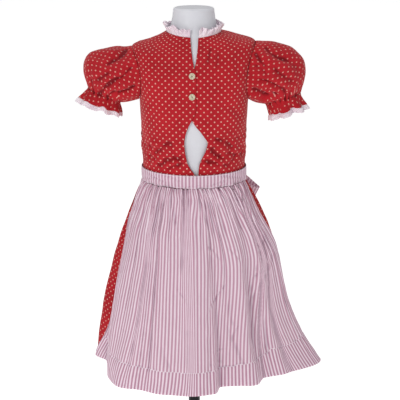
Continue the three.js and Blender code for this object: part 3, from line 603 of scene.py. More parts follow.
def makeFormShell():
    finish, tree, shader = newFinish("paleShell")
    place = objectPlace(tree)
    tone = placeGroup(tree, slowTone, Place=place, Scale=9.0)["Tone"]
    plug(tree, shader.inputs, {
        "Base Color": mixColour(tree, rampStep(tree, tone, 0.3, 0.7), linear(216, 216, 221), linear(206, 206, 212)),
        "Roughness": ranged(tree, tone, 0.42, 0.58),
        "Normal": bumped(tree, noiseNode(tree, place, 900.0, 2.0), 0.25, 0.0001)})
    return finish


def makeDarkSteel():
    finish, tree, shader = newFinish("darkSteel")
    place = objectPlace(tree)
    drawn = noiseNode(tree, vectorNode(tree, "MULTIPLY", place, (600, 600, 12)), 1.0, 3.0)
    scuffs = placeGroup(tree, slowTone, Place=place, Scale=30.0)["Tone"]
    plug(tree, shader.inputs, {
        "Base Color": mixColour(tree, rampStep(tree, scuffs, 0.45, 0.75), linear(24, 24, 26), linear(52, 52, 55)),
        "Roughness": ranged(tree, scuffs, 0.18, 0.42), "Normal": bumped(tree, drawn, 0.15, 0.0001),
        "Metallic": 0.7})
    return finish


# the sleeves' copy of the red cotton: stronger painted shade in its folds, and its dots dimmed as painted shade
sleeveShadedRed = makeRedCotton("sleeveShadedRedCotton", shade=0.9, dotTone=0.68)
# the bodice's copy of the red cotton, with stronger painted shade in its folds than the skirt's
bodiceShadedRed = makeRedCotton("bodiceShadedRedCotton", shade=0.68)
bandStitches = (0.0018, 0.0222)
stripedPink = makeApronCotton("stripedPinkCotton", stitchLines=bandStitches)
# the waistband's copy of the apron cotton, greyed and darker in its folds as painted shade
bandShadedPink = makeApronCotton("bandShadedPinkCotton", stitchLines=bandStitches, shade=0.5, greyShade=0.12)
lace, horn, thread, shell, steel = makeLace(), makeHorn(), makeThread(), makeFormShell(), makeDarkSteel()
print("materials made")

torso = {  # what the bodice and the dress form follow
    "columns": "level halfWidth front back sideZ frontZ backZ squareness",
    "rows": [
        (-3, 99, 84, 88, 508, 508, 508, 0), (-2, 100, 85, 90, 560, 560, 560, 0),
        (-1, 96, 81, 82, 620, 620, 620, 0), (0, 92.5, 79, 74, 668, 668, 668, 0),
        (0.2, 92.5, 79, 74, 681, 681, 681, 0), (1, 94, 83, 76, 735, 733, 735, 0.025),
        (2, 97, 87, 79, 802, 798, 802, 0.045), (3, 102.5, 84, 76, 853, 846, 852, 0.06),
        (4, 108.5, 70, 62, 901, 884, 897, 0.05), (5, 79, 57, 53, 912, 903, 917, 0.02),
        (6, 49, 47, 45, 923, 917, 929, 0), (7, 39.5, 38, 38, 941, 937, 945, 0),
        (8, 36.5, 35.5, 35.5, 957, 956, 957, 0),
    ],
    "shoulderLift": (3, -4.5),  # left, right
}
torsoAt = columnsOf(torso)


def torsoPoint(angle, level):
    turn = np.radians(angle)
    squareness = torsoAt["squareness"](level)
    aside = (np.sin(turn) + squareness * np.sin(3 * turn)) / (1 - squareness)
    ahead = (np.cos(turn) - squareness * np.cos(3 * turn)) / (1 - squareness)
    depth = np.where(ahead > 0, torsoAt["front"](level), torsoAt["back"](level))
    centreZ = np.where(ahead > 0, torsoAt["frontZ"](level), torsoAt["backZ"](level))
    left, right = torso["shoulderLift"]
    lift = np.where(np.sin(turn) > 0, left, right) * smooth(0, 0.9, np.abs(np.sin(turn)))
    lift = lift * smooth(3, 4, level) * (1 - smooth(4.8, 6, level))
    z = mix(torsoAt["sideZ"](level), centreZ, np.cos(turn) ** 2) + lift
    return vectors(torsoAt["halfWidth"](level) * aside, -depth * ahead, z)


def torsoNormal(angle, level):
    across = torsoPoint(angle + 0.5, level) - torsoPoint(angle - 0.5, level)
    up = torsoPoint(angle, level + 0.02) - torsoPoint(angle, level - 0.02)
    return unit(np.cross(across, up))


def frontAngle(x, level):
    squareness = torsoAt["squareness"](level)
    share = x / torsoAt["halfWidth"](level) * (1 - squareness) / (1 + 3 * squareness)
    return np.degrees(np.arcsin(np.clip(share, -1, 1)))


def torsoCloth(angle, level):
    # where a point lies on the bodice's flat cloth: round from the front centre, and up from the waist
    rounds = np.linspace(0, 360, 181)
    around = lengthAlong(torsoPoint(rounds[None, :], level[:, :1]), 1)
    u = np.stack([np.interp(row, rounds, lengths) if row.min() >= 0
                  else np.sign(row) * np.interp(np.abs(row), rounds, lengths)
                  for row, lengths in zip(angle, around)])
    levels = np.linspace(0, 8, 161)
    ahead, aside = (
        np.interp(level, levels, lengthAlong(torsoPoint(at + 0 * levels[:, None], levels[:, None]), 0)[:, 0])
        for at in (20.0, 75.0))
    return vectors(u, mix(ahead, aside, np.sin(np.radians(angle)) ** 2))


bodice = {
    "thickness": 0.9, "seam": 0.05, "sideSeam": 90, "armholeLevel": 3, "armholeAngle": 33,
    "neckLevel": 6, "columns": 90, "backColumns": 150, "underlap": 1.62,
    "crumple": (34, 0.45), "rumple": (13, 2.2),  # cell and depth, all over and above the waistband
    "edges": {
        "columns": "z rightEdge leftEdge",
        "rows": [
            (660, 6, 8), (678, 2.6, 8.3), (697, -8.9, 9.9), (712, -13.2, 15.7), (724, -15.4, 21),
            (738, -16.4, 24.3), (752, -14.4, 16.5), (769, -8.4, 3.2), (781, -2.4, -3.4),
            (800, 4.2, -5), (850, 4.6, -5), (862, 4.4, -3.4), (869, 1.2, 1.8), (918, -5.6, 8.4),
            (930, -6, 9),
        ],
    },
    "creases": {
        "front": [
            (-34, 746, -78, 700, 4, 4.6, -3.4), (-24, 722, -70, 690, -3, 3.6, -3.0),
            (-50, 716, -86, 728, 3, 4, -2.4), (-10, 704, -52, 686, 2, 3, -3.0),
            (-18, 712, -60, 706, -2, 3, -2.2), (-64, 700, -90, 712, 2, 3.6, -2.2),
            (30, 748, 76, 722, -4, 4.4, -3.4), (22, 736, 64, 700, 3, 3.6, -3.6),
            (18, 706, 66, 690, -2, 3.4, -3.0), (48, 748, 88, 742, 2, 4.2, -2.2),
            (26, 724, 52, 706, 2, 2.8, -2.4), (58, 716, 90, 706, -2, 3.6, -2.2),
            (32, 906, 24, 870, 2, 3.5, -1.6), (42, 902, 36, 862, -2, 4, -1.2),
            (-58, 800, -80, 770, 3, 5, -1.2), (60, 806, 84, 772, -3, 5, -1.2),
            (-66, 884, -84, 842, -5, 5, -1.6), (74, 890, 88, 846, 5, 5, -1.6),
            (-12, 790, -34, 770, 2, 3.5, -1.1), (8, 786, 30, 768, -2, 3.5, -1.1),
        ],
        "back": [
            (-30, 700, -76, 718, 3, 5, -2.2), (24, 694, 70, 706, -4, 5, -2.0),
            (-58, 742, -86, 752, 3, 4.5, -1.6), (50, 736, 84, 756, -3, 4.5, -1.8),
            (-64, 880, -82, 836, 4, 5, -1.5), (68, 884, 86, 838, -5, 5, -1.6),
            (4, 880, -10, 800, 5, 7, -0.9), (34, 900, 20, 850, 3, 5, -1.0),
        ],
    },
}
edgeAt = columnsOf(bodice["edges"])


def armholeReach(level):
    return bodice["armholeAngle"] * np.sqrt(1 - np.clip(level - bodice["armholeLevel"], -1, 1) ** 2)


def sideEdge(level, way=-1):
    return bodice["sideSeam"] + way * (armholeReach(level) + bodice["seam"])


def openEdge(side):
    return lambda level: frontAngle(edgeAt[side](torsoAt["frontZ"](level)), level)


def bodicePiece(name, node, start, end, seed, underlap=False, columns=bodice["columns"]):
    levels = np.concatenate([
        np.linspace(0, 2, 44)[:-1], bodice["armholeLevel"] - np.cos(np.pi * np.linspace(0, 1, 58)),
        np.linspace(4, bodice["neckLevel"], 34)[1:]])[:, None]
    share = columnSteps(0, 1, columns)
    angle = mix(start(levels), end(levels), share)
    level = levels + 0 * share
    points = torsoPoint(angle, level)
    if underlap:
        inset = bodice["underlap"] * smooth(19, 9, points[..., 0])
        points = points - torsoNormal(angle, level) * inset[..., None]
    cloth = torsoCloth(angle, level)
    points = creaseSheet(points, bodice["creases"])
    points = crumple(points, cloth, 1, *bodice["crumple"], seed)
    cell, depth = bodice["rumple"]
    rumpled = depth * smooth(775, 715, points[..., 2]) * smooth(688, 700, points[..., 2])
    points = crumple(points, cloth, 1, cell, rumpled, seed + 60)
    piece = clothPiece(name, node, points, cloth, bodiceShadedRed, bodice["thickness"])


bodicePiece("bodiceFrontLeft", "bodice_front_left", openEdge("leftEdge"), sideEdge, 11, underlap=True)
bodicePiece("bodiceFrontRight", "bodice_front_right", lambda level: -sideEdge(level),
            openEdge("rightEdge"), 12)
bodicePiece("bodiceBack", "bodice_back", lambda level: sideEdge(level, 1),
            lambda level: 360 - sideEdge(level, 1), 13, columns=bodice["backColumns"])
print("bodice sewn")

sleeves = {  # made all round from the underarm seam
    "thickness": 0.9, "columns": 216, "bodyRows": 84, "flounceRows": 27, "flounce": 23.5, "waves": 8,
    "waveDepth": 3.4, "laceLength": 9, "laceFlare": 2.5, "laceThickness": 0.7, "laceCut": (300, 11),
    "armholeCentre": (102, 2, 853), "headGathers": 13, "elasticGathers": 12,
    "left": {
        "mirror": 1, "cuff": (158, -4, 803.5), "cuffRadius": 31, "tilt": 18, "nod": 6,
        "headReach": 76, "headRise": 2, "puff": 49, "crown": 49, "outerFlare": 5, "innerFlare": -1,
        "innerLength": 0.95, "seed": 21,
        # where the hem tucks in: turn, half width, how far in and how far up
        "tucks": [(1.22, 0.17, 4.5, 4.5), (2.05, 0.14, 2.5, 2.2), (0.45, 0.2, 2, 1.5), (4.3, 0.2, 4, 3),
                  (5.3, 0.16, 2.5, 2)],
        "creases": {
            "front": [
                (104, 850, 164, 820, -5, 5, -5.4), (94, 828, 140, 806, -3, 5.5, -6.5),
                (112, 812, 152, 822, 2, 4, -3.6), (118, 903, 172, 877, 5, 5.4, -4.4),
                (146, 888, 190, 852, -5, 6, -3.2), (100, 874, 134, 846, -3, 5, -3.4),
                (118, 842, 154, 812, 3, 4.4, -4.0), (132, 872, 182, 838, 4, 6, -2.8),
                (104, 894, 132, 864, 3, 5, -2.8),
            ],
            "back": [
                (106, 862, 164, 826, -5, 6, -4.6), (114, 898, 172, 866, 5, 6, -3.6),
                (106, 826, 146, 818, 2, 5, -3.8), (132, 872, 180, 842, -4, 6, -2.8),
            ],
        },
    },
    "right": {
        "mirror": -1, "cuff": (159, -4, 811), "cuffRadius": 30.5, "tilt": 25, "nod": 3,
        "headReach": 55, "headRise": -12, "puff": 61, "crown": 61, "outerFlare": 7, "innerFlare": 9,
        "innerLength": 0.75, "seed": 27,
        "tucks": [(1.78, 0.17, 4.5, 5), (0.95, 0.15, 2.5, 2), (2.45, 0.14, 2, 1.6), (4.8, 0.2, 4, 3),
                  (3.9, 0.16, 2.5, 2)],
        "creases": {
            "front": [
                (-118, 856, -168, 812, 5, 4.6, -5.6), (-95, 838, -146, 816, -3, 5.5, -7.0),
                (-112, 900, -160, 870, -5, 5.4, -5.0), (-130, 880, -188, 882, 3, 5, -3.8),
                (-102, 870, -128, 842, 3, 5, -3.2), (-104, 823, -138, 811, 2, 4.2, -4.0),
                (-142, 864, -184, 838, -4, 6, -3.0), (-124, 846, -152, 810, -3, 4, -3.6),
            ],
            "back": [
                (-106, 870, -162, 826, 5, 6, -4.6), (-114, 896, -172, 866, -5, 6, -3.6),
                (-104, 838, -144, 820, 2, 5, -4.0), (-136, 868, -182, 844, 4, 6, -2.8),
            ],
        },
    },
}


def sleevePoint(sleeve, turn, v):
    # v is 0 at the armhole, 1 at the elastic, 2 at the flounce's edge and 3 at the lace's
    mirror = sleeve["mirror"]
    tilt, nod = math.radians(sleeve["tilt"]), math.radians(sleeve["nod"])
    up = np.array([mirror * math.cos(tilt), 0, math.sin(tilt)])
    fore = np.array([0, -math.cos(nod), math.sin(nod)])
    away = np.cross(up, fore) * mirror
    away = away / np.linalg.norm(away)
    centre = np.array(sleeve["cuff"]) * (mirror, 1, 1)
    out = np.array([mirror, 0, 0])
    top = ((1 + np.cos(turn)) / 2)[..., None]
    angle = mirror * (bodice["sideSeam"] - bodice["armholeAngle"] * np.sin(turn))
    start = torsoPoint(angle, bodice["armholeLevel"] + np.cos(turn)) + out * 0.2
    radial = start - np.array(sleeves["armholeCentre"]) * (mirror, 1, 1)
    radial[..., 0] = 0
    radial = unit(radial)
    rise = mix(3, sleeve["headRise"], top) + 7 * np.abs(np.sin(turn))[..., None]
    startPull = start + out * mix(8, sleeve["headReach"], top) + radial * rise
    direction = up * np.cos(turn)[..., None] + fore * np.sin(turn)[..., None]
    end = centre + direction * sleeve["cuffRadius"]
    endPull = end + direction * mix(6, sleeve["puff"], top) - away * mix(1, sleeve["crown"], top)
    t = np.clip(v, 0, 1)[..., None]
    body = (start * (1 - t) ** 3 + startPull * 3 * (1 - t) ** 2 * t
            + endPull * 3 * (1 - t) * t ** 2 + end * t ** 3)
    ofCloth, ofLace = np.clip(v - 1, 0, 1)[..., None], np.clip(v - 2, 0, None)[..., None]
    flare = mix(sleeve["innerFlare"], sleeve["outerFlare"], top) * ofCloth ** 1.2 + sleeves["laceFlare"] * ofLace
    length = mix(sleeve["innerLength"], 1, top) * (sleeves["flounce"] * ofCloth + sleeves["laceLength"] * ofLace)
    wave = sleeves["waveDepth"] * smooth(0, 1.2, v - 1) * np.sin(sleeves["waves"] * turn + 0.7 * np.sin(2 * turn))
    inward, upward = np.zeros_like(turn), np.zeros_like(turn)
    for place, halfWidth, into, rise in sleeve["tucks"]:
        apart = (turn - place + np.pi) % (2 * np.pi) - np.pi
        tuck = smooth(0.1, 1.2, v - 1) * bell(apart, halfWidth)
        inward, upward = inward + into * tuck, upward + rise * tuck
    below = (centre + direction * (sleeve["cuffRadius"] + flare + (wave - inward)[..., None])
             + away * (length - upward[..., None]))
    return np.where(v[..., None] > 1, below, body)


def sleeveGathers(seed, nearCuff):
    # gathers at the head and at the elastic, and where each of them is at work
    headCount, elasticCount = sleeves["headGathers"], sleeves["elasticGathers"]
    head = spreadGathers(headCount, seed, 1.5)
    head["share"] = head["share"] * (0.15 + 1 - smooth(0.4, 0.62, head["place"]))
    elastic = spreadGathers(elasticCount, seed + 1, 1.6)
    both = {part: np.concatenate([head[part], elastic[part]]) for part in head}
    order = np.argsort(both["place"])
    active = np.stack([1 - nearCuff] * headCount + [nearCuff] * elasticCount)[order]
    return {part: values[order] for part, values in both.items()}, active


def makeSleeve(key):
    sleeve, bodyRows = sleeves[key], sleeves["bodyRows"]
    mirror, seed = sleeve["mirror"], sleeve["seed"]
    vs = np.concatenate([np.linspace(0, 1, bodyRows), 1 + np.linspace(0, 1, sleeves["flounceRows"])[1:]])[:, None]
    share = columnSteps(0, 1, sleeves["columns"])
    turn, v = np.pi + 2 * np.pi * share + 0 * vs, vs + 0 * share
    points = sleevePoint(sleeve, turn, v)
    around = lengthAlong(points, 1)
    flatWidth = float(around[:bodyRows, -1].max()) + 1
    middle = sleeves["columns"] // 2
    flat = vectors(around - around[:, middle:middle + 1], lengthAlong(points, 0))
    # the elastic parts the puff's pattern from the flounce's
    cloth = np.concatenate([evenPattern(points[part], flat[part])
                            for part in (slice(bodyRows), slice(bodyRows, None))])
    halves, active = zip(*(sleeveGathers(seed + offset, smooth(0.42, 0.58, vs)) for offset in (0, 5)))
    gathered = gatherCloth(points, mirror, flatWidth, halves, 2.2, loop=True, active=active)[0]
    points = mix(gathered, points, (0.75 * smooth(1, 1.3, v))[..., None])
    points = creaseSheet(points, sleeve["creases"], mirror, loop=True)
    evenly = vectors(share * flatWidth, lengthAlong(points, 0))
    points = crumple(points, evenly, mirror, 30, 1.0, seed + 2, loop=True, period=flatWidth)
    points[:, -1] = points[:, 0]
    name = "sleeve" + key.capitalize()
    piece = clothPiece(name, "sleeve_" + key, points, cloth, sleeveShadedRed,
                       sleeves["thickness"], side=mirror, loop=True)
    # lace sewn under the flounce's edge
    laceWidth, laceDepth = sleeves["laceCut"]
    vLace = rowSteps(1.9, 3, 11)
    turn = np.pi + 2 * np.pi * share + 0 * vLace
    vLace = vLace + 0 * share
    edge = sleevePoint(sleeve, turn, vLace)
    scallop = 0.9 * np.abs(np.sin(44 * turn / 2)) * smooth(2.6, 3, vLace)
    normals = gridNormals(edge, mirror, True)
    edge = edge - normals * (1.1 * smooth(2.1, 1.95, vLace))[..., None]
    edge = edge + unit(edge[-1:] - edge[-2:-1]) * scallop[..., None]
    edge = edge + normals * (0.5 * np.sin(60 * turn) * smooth(2, 2.4, vLace))[..., None]
    trim = clothPiece("cuffLace" + key.capitalize(), "cuff_lace_" + key, edge,
                      vectors(share * laceWidth, (vLace - 1.9) * 10), lace,
                      sleeves["laceThickness"], side=mirror, loop=True)


makeSleeve("left")
makeSleeve("right")
print("sleeves gathered")

neckRuffle = {
    "height": 13, "inset": 0.6, "frontLean": 0.6, "sideLean": 1.6, "waves": 26, "waveDepth": 2.9,
    "ends": (9.2, -6.2), "columns": 520, "thickness": 0.7, "flatWidth": 470,
}


def makeNeckRuffle():
    level, flatWidth = bodice["neckLevel"], neckRuffle["flatWidth"]
    left, right = (float(frontAngle(x, level)) for x in neckRuffle["ends"])
    rise = rowSteps(-0.12, 1, 13)
    share = columnSteps(0, 1, neckRuffle["columns"])
    angle = mix(left, 360 + right, share) + 0 * rise
    base = torsoPoint(angle, level + 0 * angle)
    outward = unit(base * np.array([1, 1, 0]))
    turns = 2 * np.pi * neckRuffle["waves"] * (share + 0.008 * np.sin(19 * share) + 0.004 * np.sin(47 * share))
    swell = 1 + 0.35 * np.sin(9.1 * share + 1)
    wave = neckRuffle["waveDepth"] * swell * smooth(-0.1, 0.9, rise) * (np.sin(turns) + 0.3 * np.sin(2.3 * turns))
    lean = neckRuffle["frontLean"] + neckRuffle["sideLean"] * np.sin(np.radians(angle)) ** 2
    reach = (lean + wave) * np.clip(rise, 0, 1) - neckRuffle["inset"] - 0.5 * smooth(0, -0.12, rise)
    ragged = softNoise(share * flatWidth, 0 * share, 9, 91) + 0.6 * softNoise(share * flatWidth, 0 * share, 4, 92)
    height = neckRuffle["height"] * (0.96 + 0.12 * np.sin(7 * share * 6.28) + 0.2 * ragged)
    scallop = 0.8 * np.abs(np.sin(150 * share)) * smooth(0.7, 1, rise)
    points = base + outward * reach[..., None]
    points[..., 2] = base[..., 2] + 0.5 + height * rise + scallop
    cloth = vectors(share * flatWidth, rise * neckRuffle["height"])
    piece = clothPiece("neckRuffle", "neck_ruffle", points, cloth, lace, neckRuffle["thickness"])


makeNeckRuffle()
print("neck ruffle gathered")

hang = {  # the smooth shape that skirt and apron hang on
    "waistSeam": 668, "hemHeight": 300, "bandBottom": 656, "waist": (92.5, 79, 74),
    "hem": {
        "columns": "angle radius", "period": 360,
        "rows": [
            (-160, 166), (-148, 158), (-136, 178), (-124, 168), (-110, 190), (-93, 188), (-83, 162),
            (-70, 165), (-56, 180), (-49, 183), (-33, 170), (-17, 167), (2, 165), (13, 161), (20, 136),
            (32, 147), (43, 162), (51, 155), (67, 182), (87, 238), (97, 230), (108, 212), (118, 196),
            (130, 186), (142, 166), (154, 172), (167, 155), (182, 164),
        ],
    },
}
hemRadius = columnsOf(hang["hem"])["radius"]
skirtDrop = hang["waistSeam"] - hang["hemHeight"]
flareStart = (hang["waistSeam"] - hang["bandBottom"]) / skirtDrop


def roundAxis(angle, radius, height):
    turn = np.radians(angle)
    return vectors(radius * np.sin(turn), -radius * np.cos(turn), height)


def waistRadius(angle):
    turn = np.radians(angle)
    halfWidth, front, back = hang["waist"]
    depth = np.where(np.cos(turn) > 0, front, back)
    return 1 / np.hypot(np.sin(turn) / halfWidth, np.cos(turn) / depth)


def hangRadius(angle, wholeDrop):
    drop = np.clip((wholeDrop - flareStart) / (1 - flareStart), 0, 1)
    aside = np.sin(np.radians(angle))
    rightSide, leftSide = ((1 - aside) / 2) ** 2, ((1 + aside) / 2) ** 2
    spread = (drop + (0.06 + 0.68 * rightSide) * drop * (1 - drop)
              + leftSide * (0.07 * np.sin(2 * np.pi * drop) - 0.3 * drop * drop * (1 - drop)))
    return mix(waistRadius(angle), hemRadius(angle), spread)


def onHang(angle, drop, lift):
    return roundAxis(angle, hangRadius(angle, drop) + lift, hang["waistSeam"] - skirtDrop * drop)


skirt = {
    "side": 92, "seam": 0.02, "top": 0.001, "hem": 1 - 3 / skirtDrop, "thickness": 0.9, "rows": 112,
    "foldsPerTurn": 17, "foldDepth": 7, "gatherDepth": 1.9, "stitchUp": 22,
    "creases": {
        "back": [
            (-60, 560, -72, 420, 6, 8, -2.5), (30, 600, 44, 430, -6, 9, -2.5),
            (84, 600, 120, 470, 6, 9, -2.5), (-20, 520, -14, 380, 5, 8, -2.0),
            (10, 420, 60, 396, 6, 6, -1.6), (-90, 440, -40, 420, -5, 6, -1.4),
        ],
        "front": [(96, 590, 118, 520, 4, 6, -1.8), (-104, 600, -130, 520, 4, 6, -1.8)],
    },
}


def makeSkirtPiece(name, node, start, end, columns, flatWidth, gathers, seed):
    drop = rowSteps(skirt["top"], skirt["hem"], skirt["rows"])
    angle = columnSteps(start, end, columns)
    turn = np.radians(angle)
    fold = (1 - np.cos(skirt["foldsPerTurn"] * turn + 1.4 * np.sin(3 * turn))) / 2
    uneven = 1 + 0.35 * np.sin(2.3 * turn + 1.1)
    covered = 1 - smooth(60, 78, np.abs((angle + 180) % 360 - 180))  # by the apron
    lift = -fold * skirt["foldDepth"] * uneven * smooth(0.05, 0.75, drop) - 0.6 - 2.6 * covered
    points = onHang(angle + 0 * drop, drop + 0 * angle, lift)
    halves = [spreadGathers(gathers // 2, seed + k, 1.7) for k in (0, 3)]
    points, across = gatherCloth(points, -1, flatWidth, halves, skirt["gatherDepth"], ridge=0.4)
    downward = lengthAlong(points, 0)
    length = float(downward[-1].mean())
    cloth = vectors(across, downward)
    points = crumple(creaseSheet(points, skirt["creases"], -1), cloth, -1, 55, 0.9, seed)
    finish = makeRedCotton(name + "Cotton", stitchLines=((length - skirt["stitchUp"]) * mm,))
    piece = clothPiece(name, node, points, cloth, finish, skirt["thickness"], side=-1)


seamAngle = skirt["side"] - skirt["seam"]
makeSkirtPiece("skirtFront", "skirt_front", -skirt["side"] + skirt["seam"], seamAngle, 236, 640, 34, 31)
seamAngle = skirt["side"] + skirt["seam"]
makeSkirtPiece("skirtBack", "skirt_back", seamAngle, 360 - skirt["side"] - skirt["seam"], 320, 760, 44, 37)
print("skirt gathered")

apron = {
    "thickness": 0.9, "columns": 340, "rows": 112, "flatWidth": 665, "hemDepth": 45, "evening": 160,
    "span": (-80, 83), "lift": (2.6, 5.2), "folds": 9, "foldDepth": 4.5, "gatherDepth": 3.2,
    "edges": {
        "columns": "drop rightEdge leftEdge",
        "rows": [
            (0, -82.5, 82), (0.05, -85.5, 78), (0.14, -88, 76.6), (0.225, -88, 78.6), (0.305, -85.5, 82.6),
            (0.42, -82, 87), (0.6, -81, 88.3), (0.85, -87, 88.6), (1, -93.5, 89),
        ],
    },
    "creases": {
        "front": [
            (13, 641, 27, 592, 2, 3, -2.2), (26, 600, 29, 300, -3, 6, -3.0),
            (62, 490, 24, 436, 3, 2, -1.3), (58, 552, 86, 520, -3, 1.9, -1.1),
            (28, 372, 58, 368, 1, 1.8, -0.9), (27, 351, 52, 346, -1, 1.8, -0.9),
            (150, 534, 98, 436, -6, 4, -1.6), (134, 566, 112, 474, 5, 4, -1.2),
            (58, 424, 98, 326, 4, 4.5, -1.2), (122, 430, 132, 334, -4, 5, -1.4),
            (146, 508, 102, 480, 3, 2.2, -1.0), (104, 500, 109, 322, 3, 6, -2.6),
            (-24, 590, -23, 505, -2, 2.6, -1.4), (-32, 492, -6, 460, 2, 1.9, -0.8),
            (-56, 394, -38, 340, 4, 6, -1.6), (18, 566, 50, 522, -3, 2, -1.1),
            (-58, 640, -74, 566, 2, 4, -2.0), (44, 640, 60, 570, 3, 4, -2.0),
            (-36, 640, -30, 590, 2, 3, -1.8), (74, 620, 92, 570, 2, 4, -1.8),
            (-84, 560, -108, 400, -5, 8, -1.8), (62, 460, 74, 400, 3, 4, -1.0),
            (-8, 430, -10, 340, 3, 6, -1.4), (84, 414, 66, 372, 3, 2.6, -0.9),
        ],
    },
}
apronEdge = columnsOf(apron["edges"])


def makeApron():
    top = flareStart + 0.32 / skirtDrop
    drop = top + (1 - top) * rowSteps(0, 1, apron["rows"]) ** 1.15
    u = columnSteps(0, 1, apron["columns"])
    right, left = apron["span"]
    angle = (mix(right, left, u) + (apronEdge["leftEdge"](drop) - left) * smooth(0.55, 1, u)
             + (apronEdge["rightEdge"](drop) - right) * smooth(0.4, 0, u))
    low, full = apron["lift"]
    lift = mix(low, full, smooth(top, top + 0.024, drop)) - 0.6 * smooth(0.1, 0.2, drop)
    fold = (1 - np.cos(2 * np.pi * (apron["folds"] * u + 0.25 * np.sin(5 * u)))) / 2
    uneven = 1 + 0.35 * np.sin(7 * u + 0.6)
    depth = apron["foldDepth"] * smooth(0.08, 0.6, drop) * (1 - 0.4 * smooth(0.7, 1, drop)) * uneven
    flatEdge = 1 - 0.75 * smooth(0.12, 0, np.minimum(u, 1 - u))  # it lies close to the skirt at its edges
    points = onHang(angle, drop + 0 * u, 0.8 + (lift - 0.8 + fold * depth) * flatEdge)
    halves = [spreadGathers(17, seed, 1.25, (1, 6), (0.3, 9)) for seed in (41, 47)]
    points, across = gatherCloth(points, -1, apron["flatWidth"], halves, apron["gatherDepth"], ridge=0.55)
    downward = lengthAlong(points, 0)
    # many gathers at the band are too small for this mesh, so the surplus is spread beyond each one
    evened = across.copy()
    for _ in range(apron["evening"]):
        evened[:, 1:-1] = (evened[:, :-2] + 2 * evened[:, 1:-1] + evened[:, 2:]) / 4
    across = mix(across, evened, 0.85 * smooth(75, 14, downward))
    # short puckers where the gathers leave the band
    opened = smooth(2, 26, downward) * smooth(110, 34, downward)
    across = across + 5.5 * softNoise(across, downward * 0.24, 17, 53) * opened
    wedges = softNoise(across, downward * 0.2, 6.5, 54) + 0.6 * softNoise(across, downward * 0.3, 3.6, 55)
    points = raised(points, 1.5 * wedges * smooth(70, 4, downward), -1)
    cloth = vectors(across, downward)
    points = creaseSheet(points, apron["creases"], -1)
    points = crumple(points, cloth, -1, 60, 0.9, 45)
    points = crumple(points, cloth * np.array([1, 0.55]), -1, 15, 0.4, 58)
    # the turned-up hem is a second layer, and its stitching draws the cloth in
    length = float(downward[-1].mean())
    hemLine = length - apron["hemDepth"]
    below = smooth(hemLine - 0.6, hemLine + 0.6, downward)
    pucker = softNoise(across, downward, 7, 51) * bell(downward - hemLine, 9)
    points = raised(points, 0.5 * below - 0.9 * bell(downward - hemLine, 2.2) + 0.6 * pucker, -1)
    finish = makeApronCotton("stripedApronCotton", hemLine * mm, stitchLines=(hemLine * mm,), shade=0.4)
    piece = clothPiece("apronPanel", "apron_panel", points, cloth, finish,
                       apron["thickness"], side=-1)


makeApron()
print("apron gathered")

band = {
    "clearance": 1.1, "thickness": 1.5, "endAngle": 84, "top": 680, "bottom": 656, "seam": 0.03,
    "creases": {
        "front": [
            (-86, 677, -42, 663, 1, 2.2, -0.9), (-58, 680, -16, 667, -1, 1.9, -0.7),
            (18, 660, 64, 671, 1, 2, -0.8), (42, 679, 88, 665, -1, 2.2, -0.9),
            (-22, 659, 16, 664, 1, 1.7, -0.6), (-90, 664, -66, 672, 1, 1.8, -0.8),
        ],
        "back": [(-72, 661, -34, 674, 1, 2, -0.8), (36, 675, 76, 662, 1, 2, -0.8)],
    },
}
bandWidth = band["top"] - band["bottom"]


def bandPoint(angle, height, lift):
    return roundAxis(angle, waistRadius(angle) + band["clearance"] + band["thickness"] + lift, height)


def makeBand(name, node, start, end, columns, seed, puckers):
    share = rowSteps(0, 1, 18)
    angle = columnSteps(start, end, columns)
    length = lengthAlong(bandPoint(angle, 668 + 0 * angle, 0 * angle), 1)
    pillow = 0.5 * (1 - (2 * share - 1) ** 4)
    ripple = puckers * softNoise(length, 0 * length, 5.5, seed) * (1 - smooth(0.0, 0.55, share))
    sway = 0.5 * softNoise(length, share * bandWidth, 18, seed + 1) * (0.4 + 0.6 * (1 - share))
    points = bandPoint(angle + 0 * share, mix(band["bottom"], band["top"], share) + 0 * angle,
                       pillow + ripple + sway)
    points = creaseSheet(points, band["creases"])
    piece = clothPiece(name, node, points, vectors(length + 3.1, share * bandWidth), bandShadedPink,
                       band["thickness"] * 0.8)


bandEnd, bandSeam = band["endAngle"], band["seam"]
makeBand("apronWaistband", "apron_waistband", -bandEnd, bandEnd, 340, 61, 1.1)
makeBand("apronTieLeft", "apron_tie_left", bandEnd + bandSeam, 180 - bandSeam, 180, 63, 0.3)
makeBand("apronTieRight", "apron_tie_right", 180 + bandSeam, 360 - bandEnd - bandSeam, 180, 65, 0.3)
print("waistband and ties made")

bow = {  # loop paths are x, z and how far behind the knot's front
    "width": 25, "tailLift": 4.12, "backOfKnot": 78.54, "knot": (22, 26, 15), "thickness": 0.9,
    "loops": {
        "Left": {
            "lean": 26,
            "path": [(11.5, 671, 6.5), (45, 658, 16), (80, 634, 22), (108, 611, 17), (120, 601, 9),
                     (110, 604, 2), (80, 622, 1.5), (45, 645, 2.5), (11.5, 664, 1.7)],
        },
        "Right": {
            "lean": -34,
            "path": [(-11.5, 671, 6.5), (-42, 662, 17), (-72, 638, 24), (-92, 607, 19), (-97, 592, 11),
                     (-89, 597, 5), (-66, 618, 3), (-40, 646, 3.5), (-11.5, 664, 1.7)],
        },
    },
    "tails": {"Left": {"side": 1, "spread": 4, "endDrop": 0.62}, "Right": {"side": -1, "spread": 9, "endDrop": 0.55}},
}


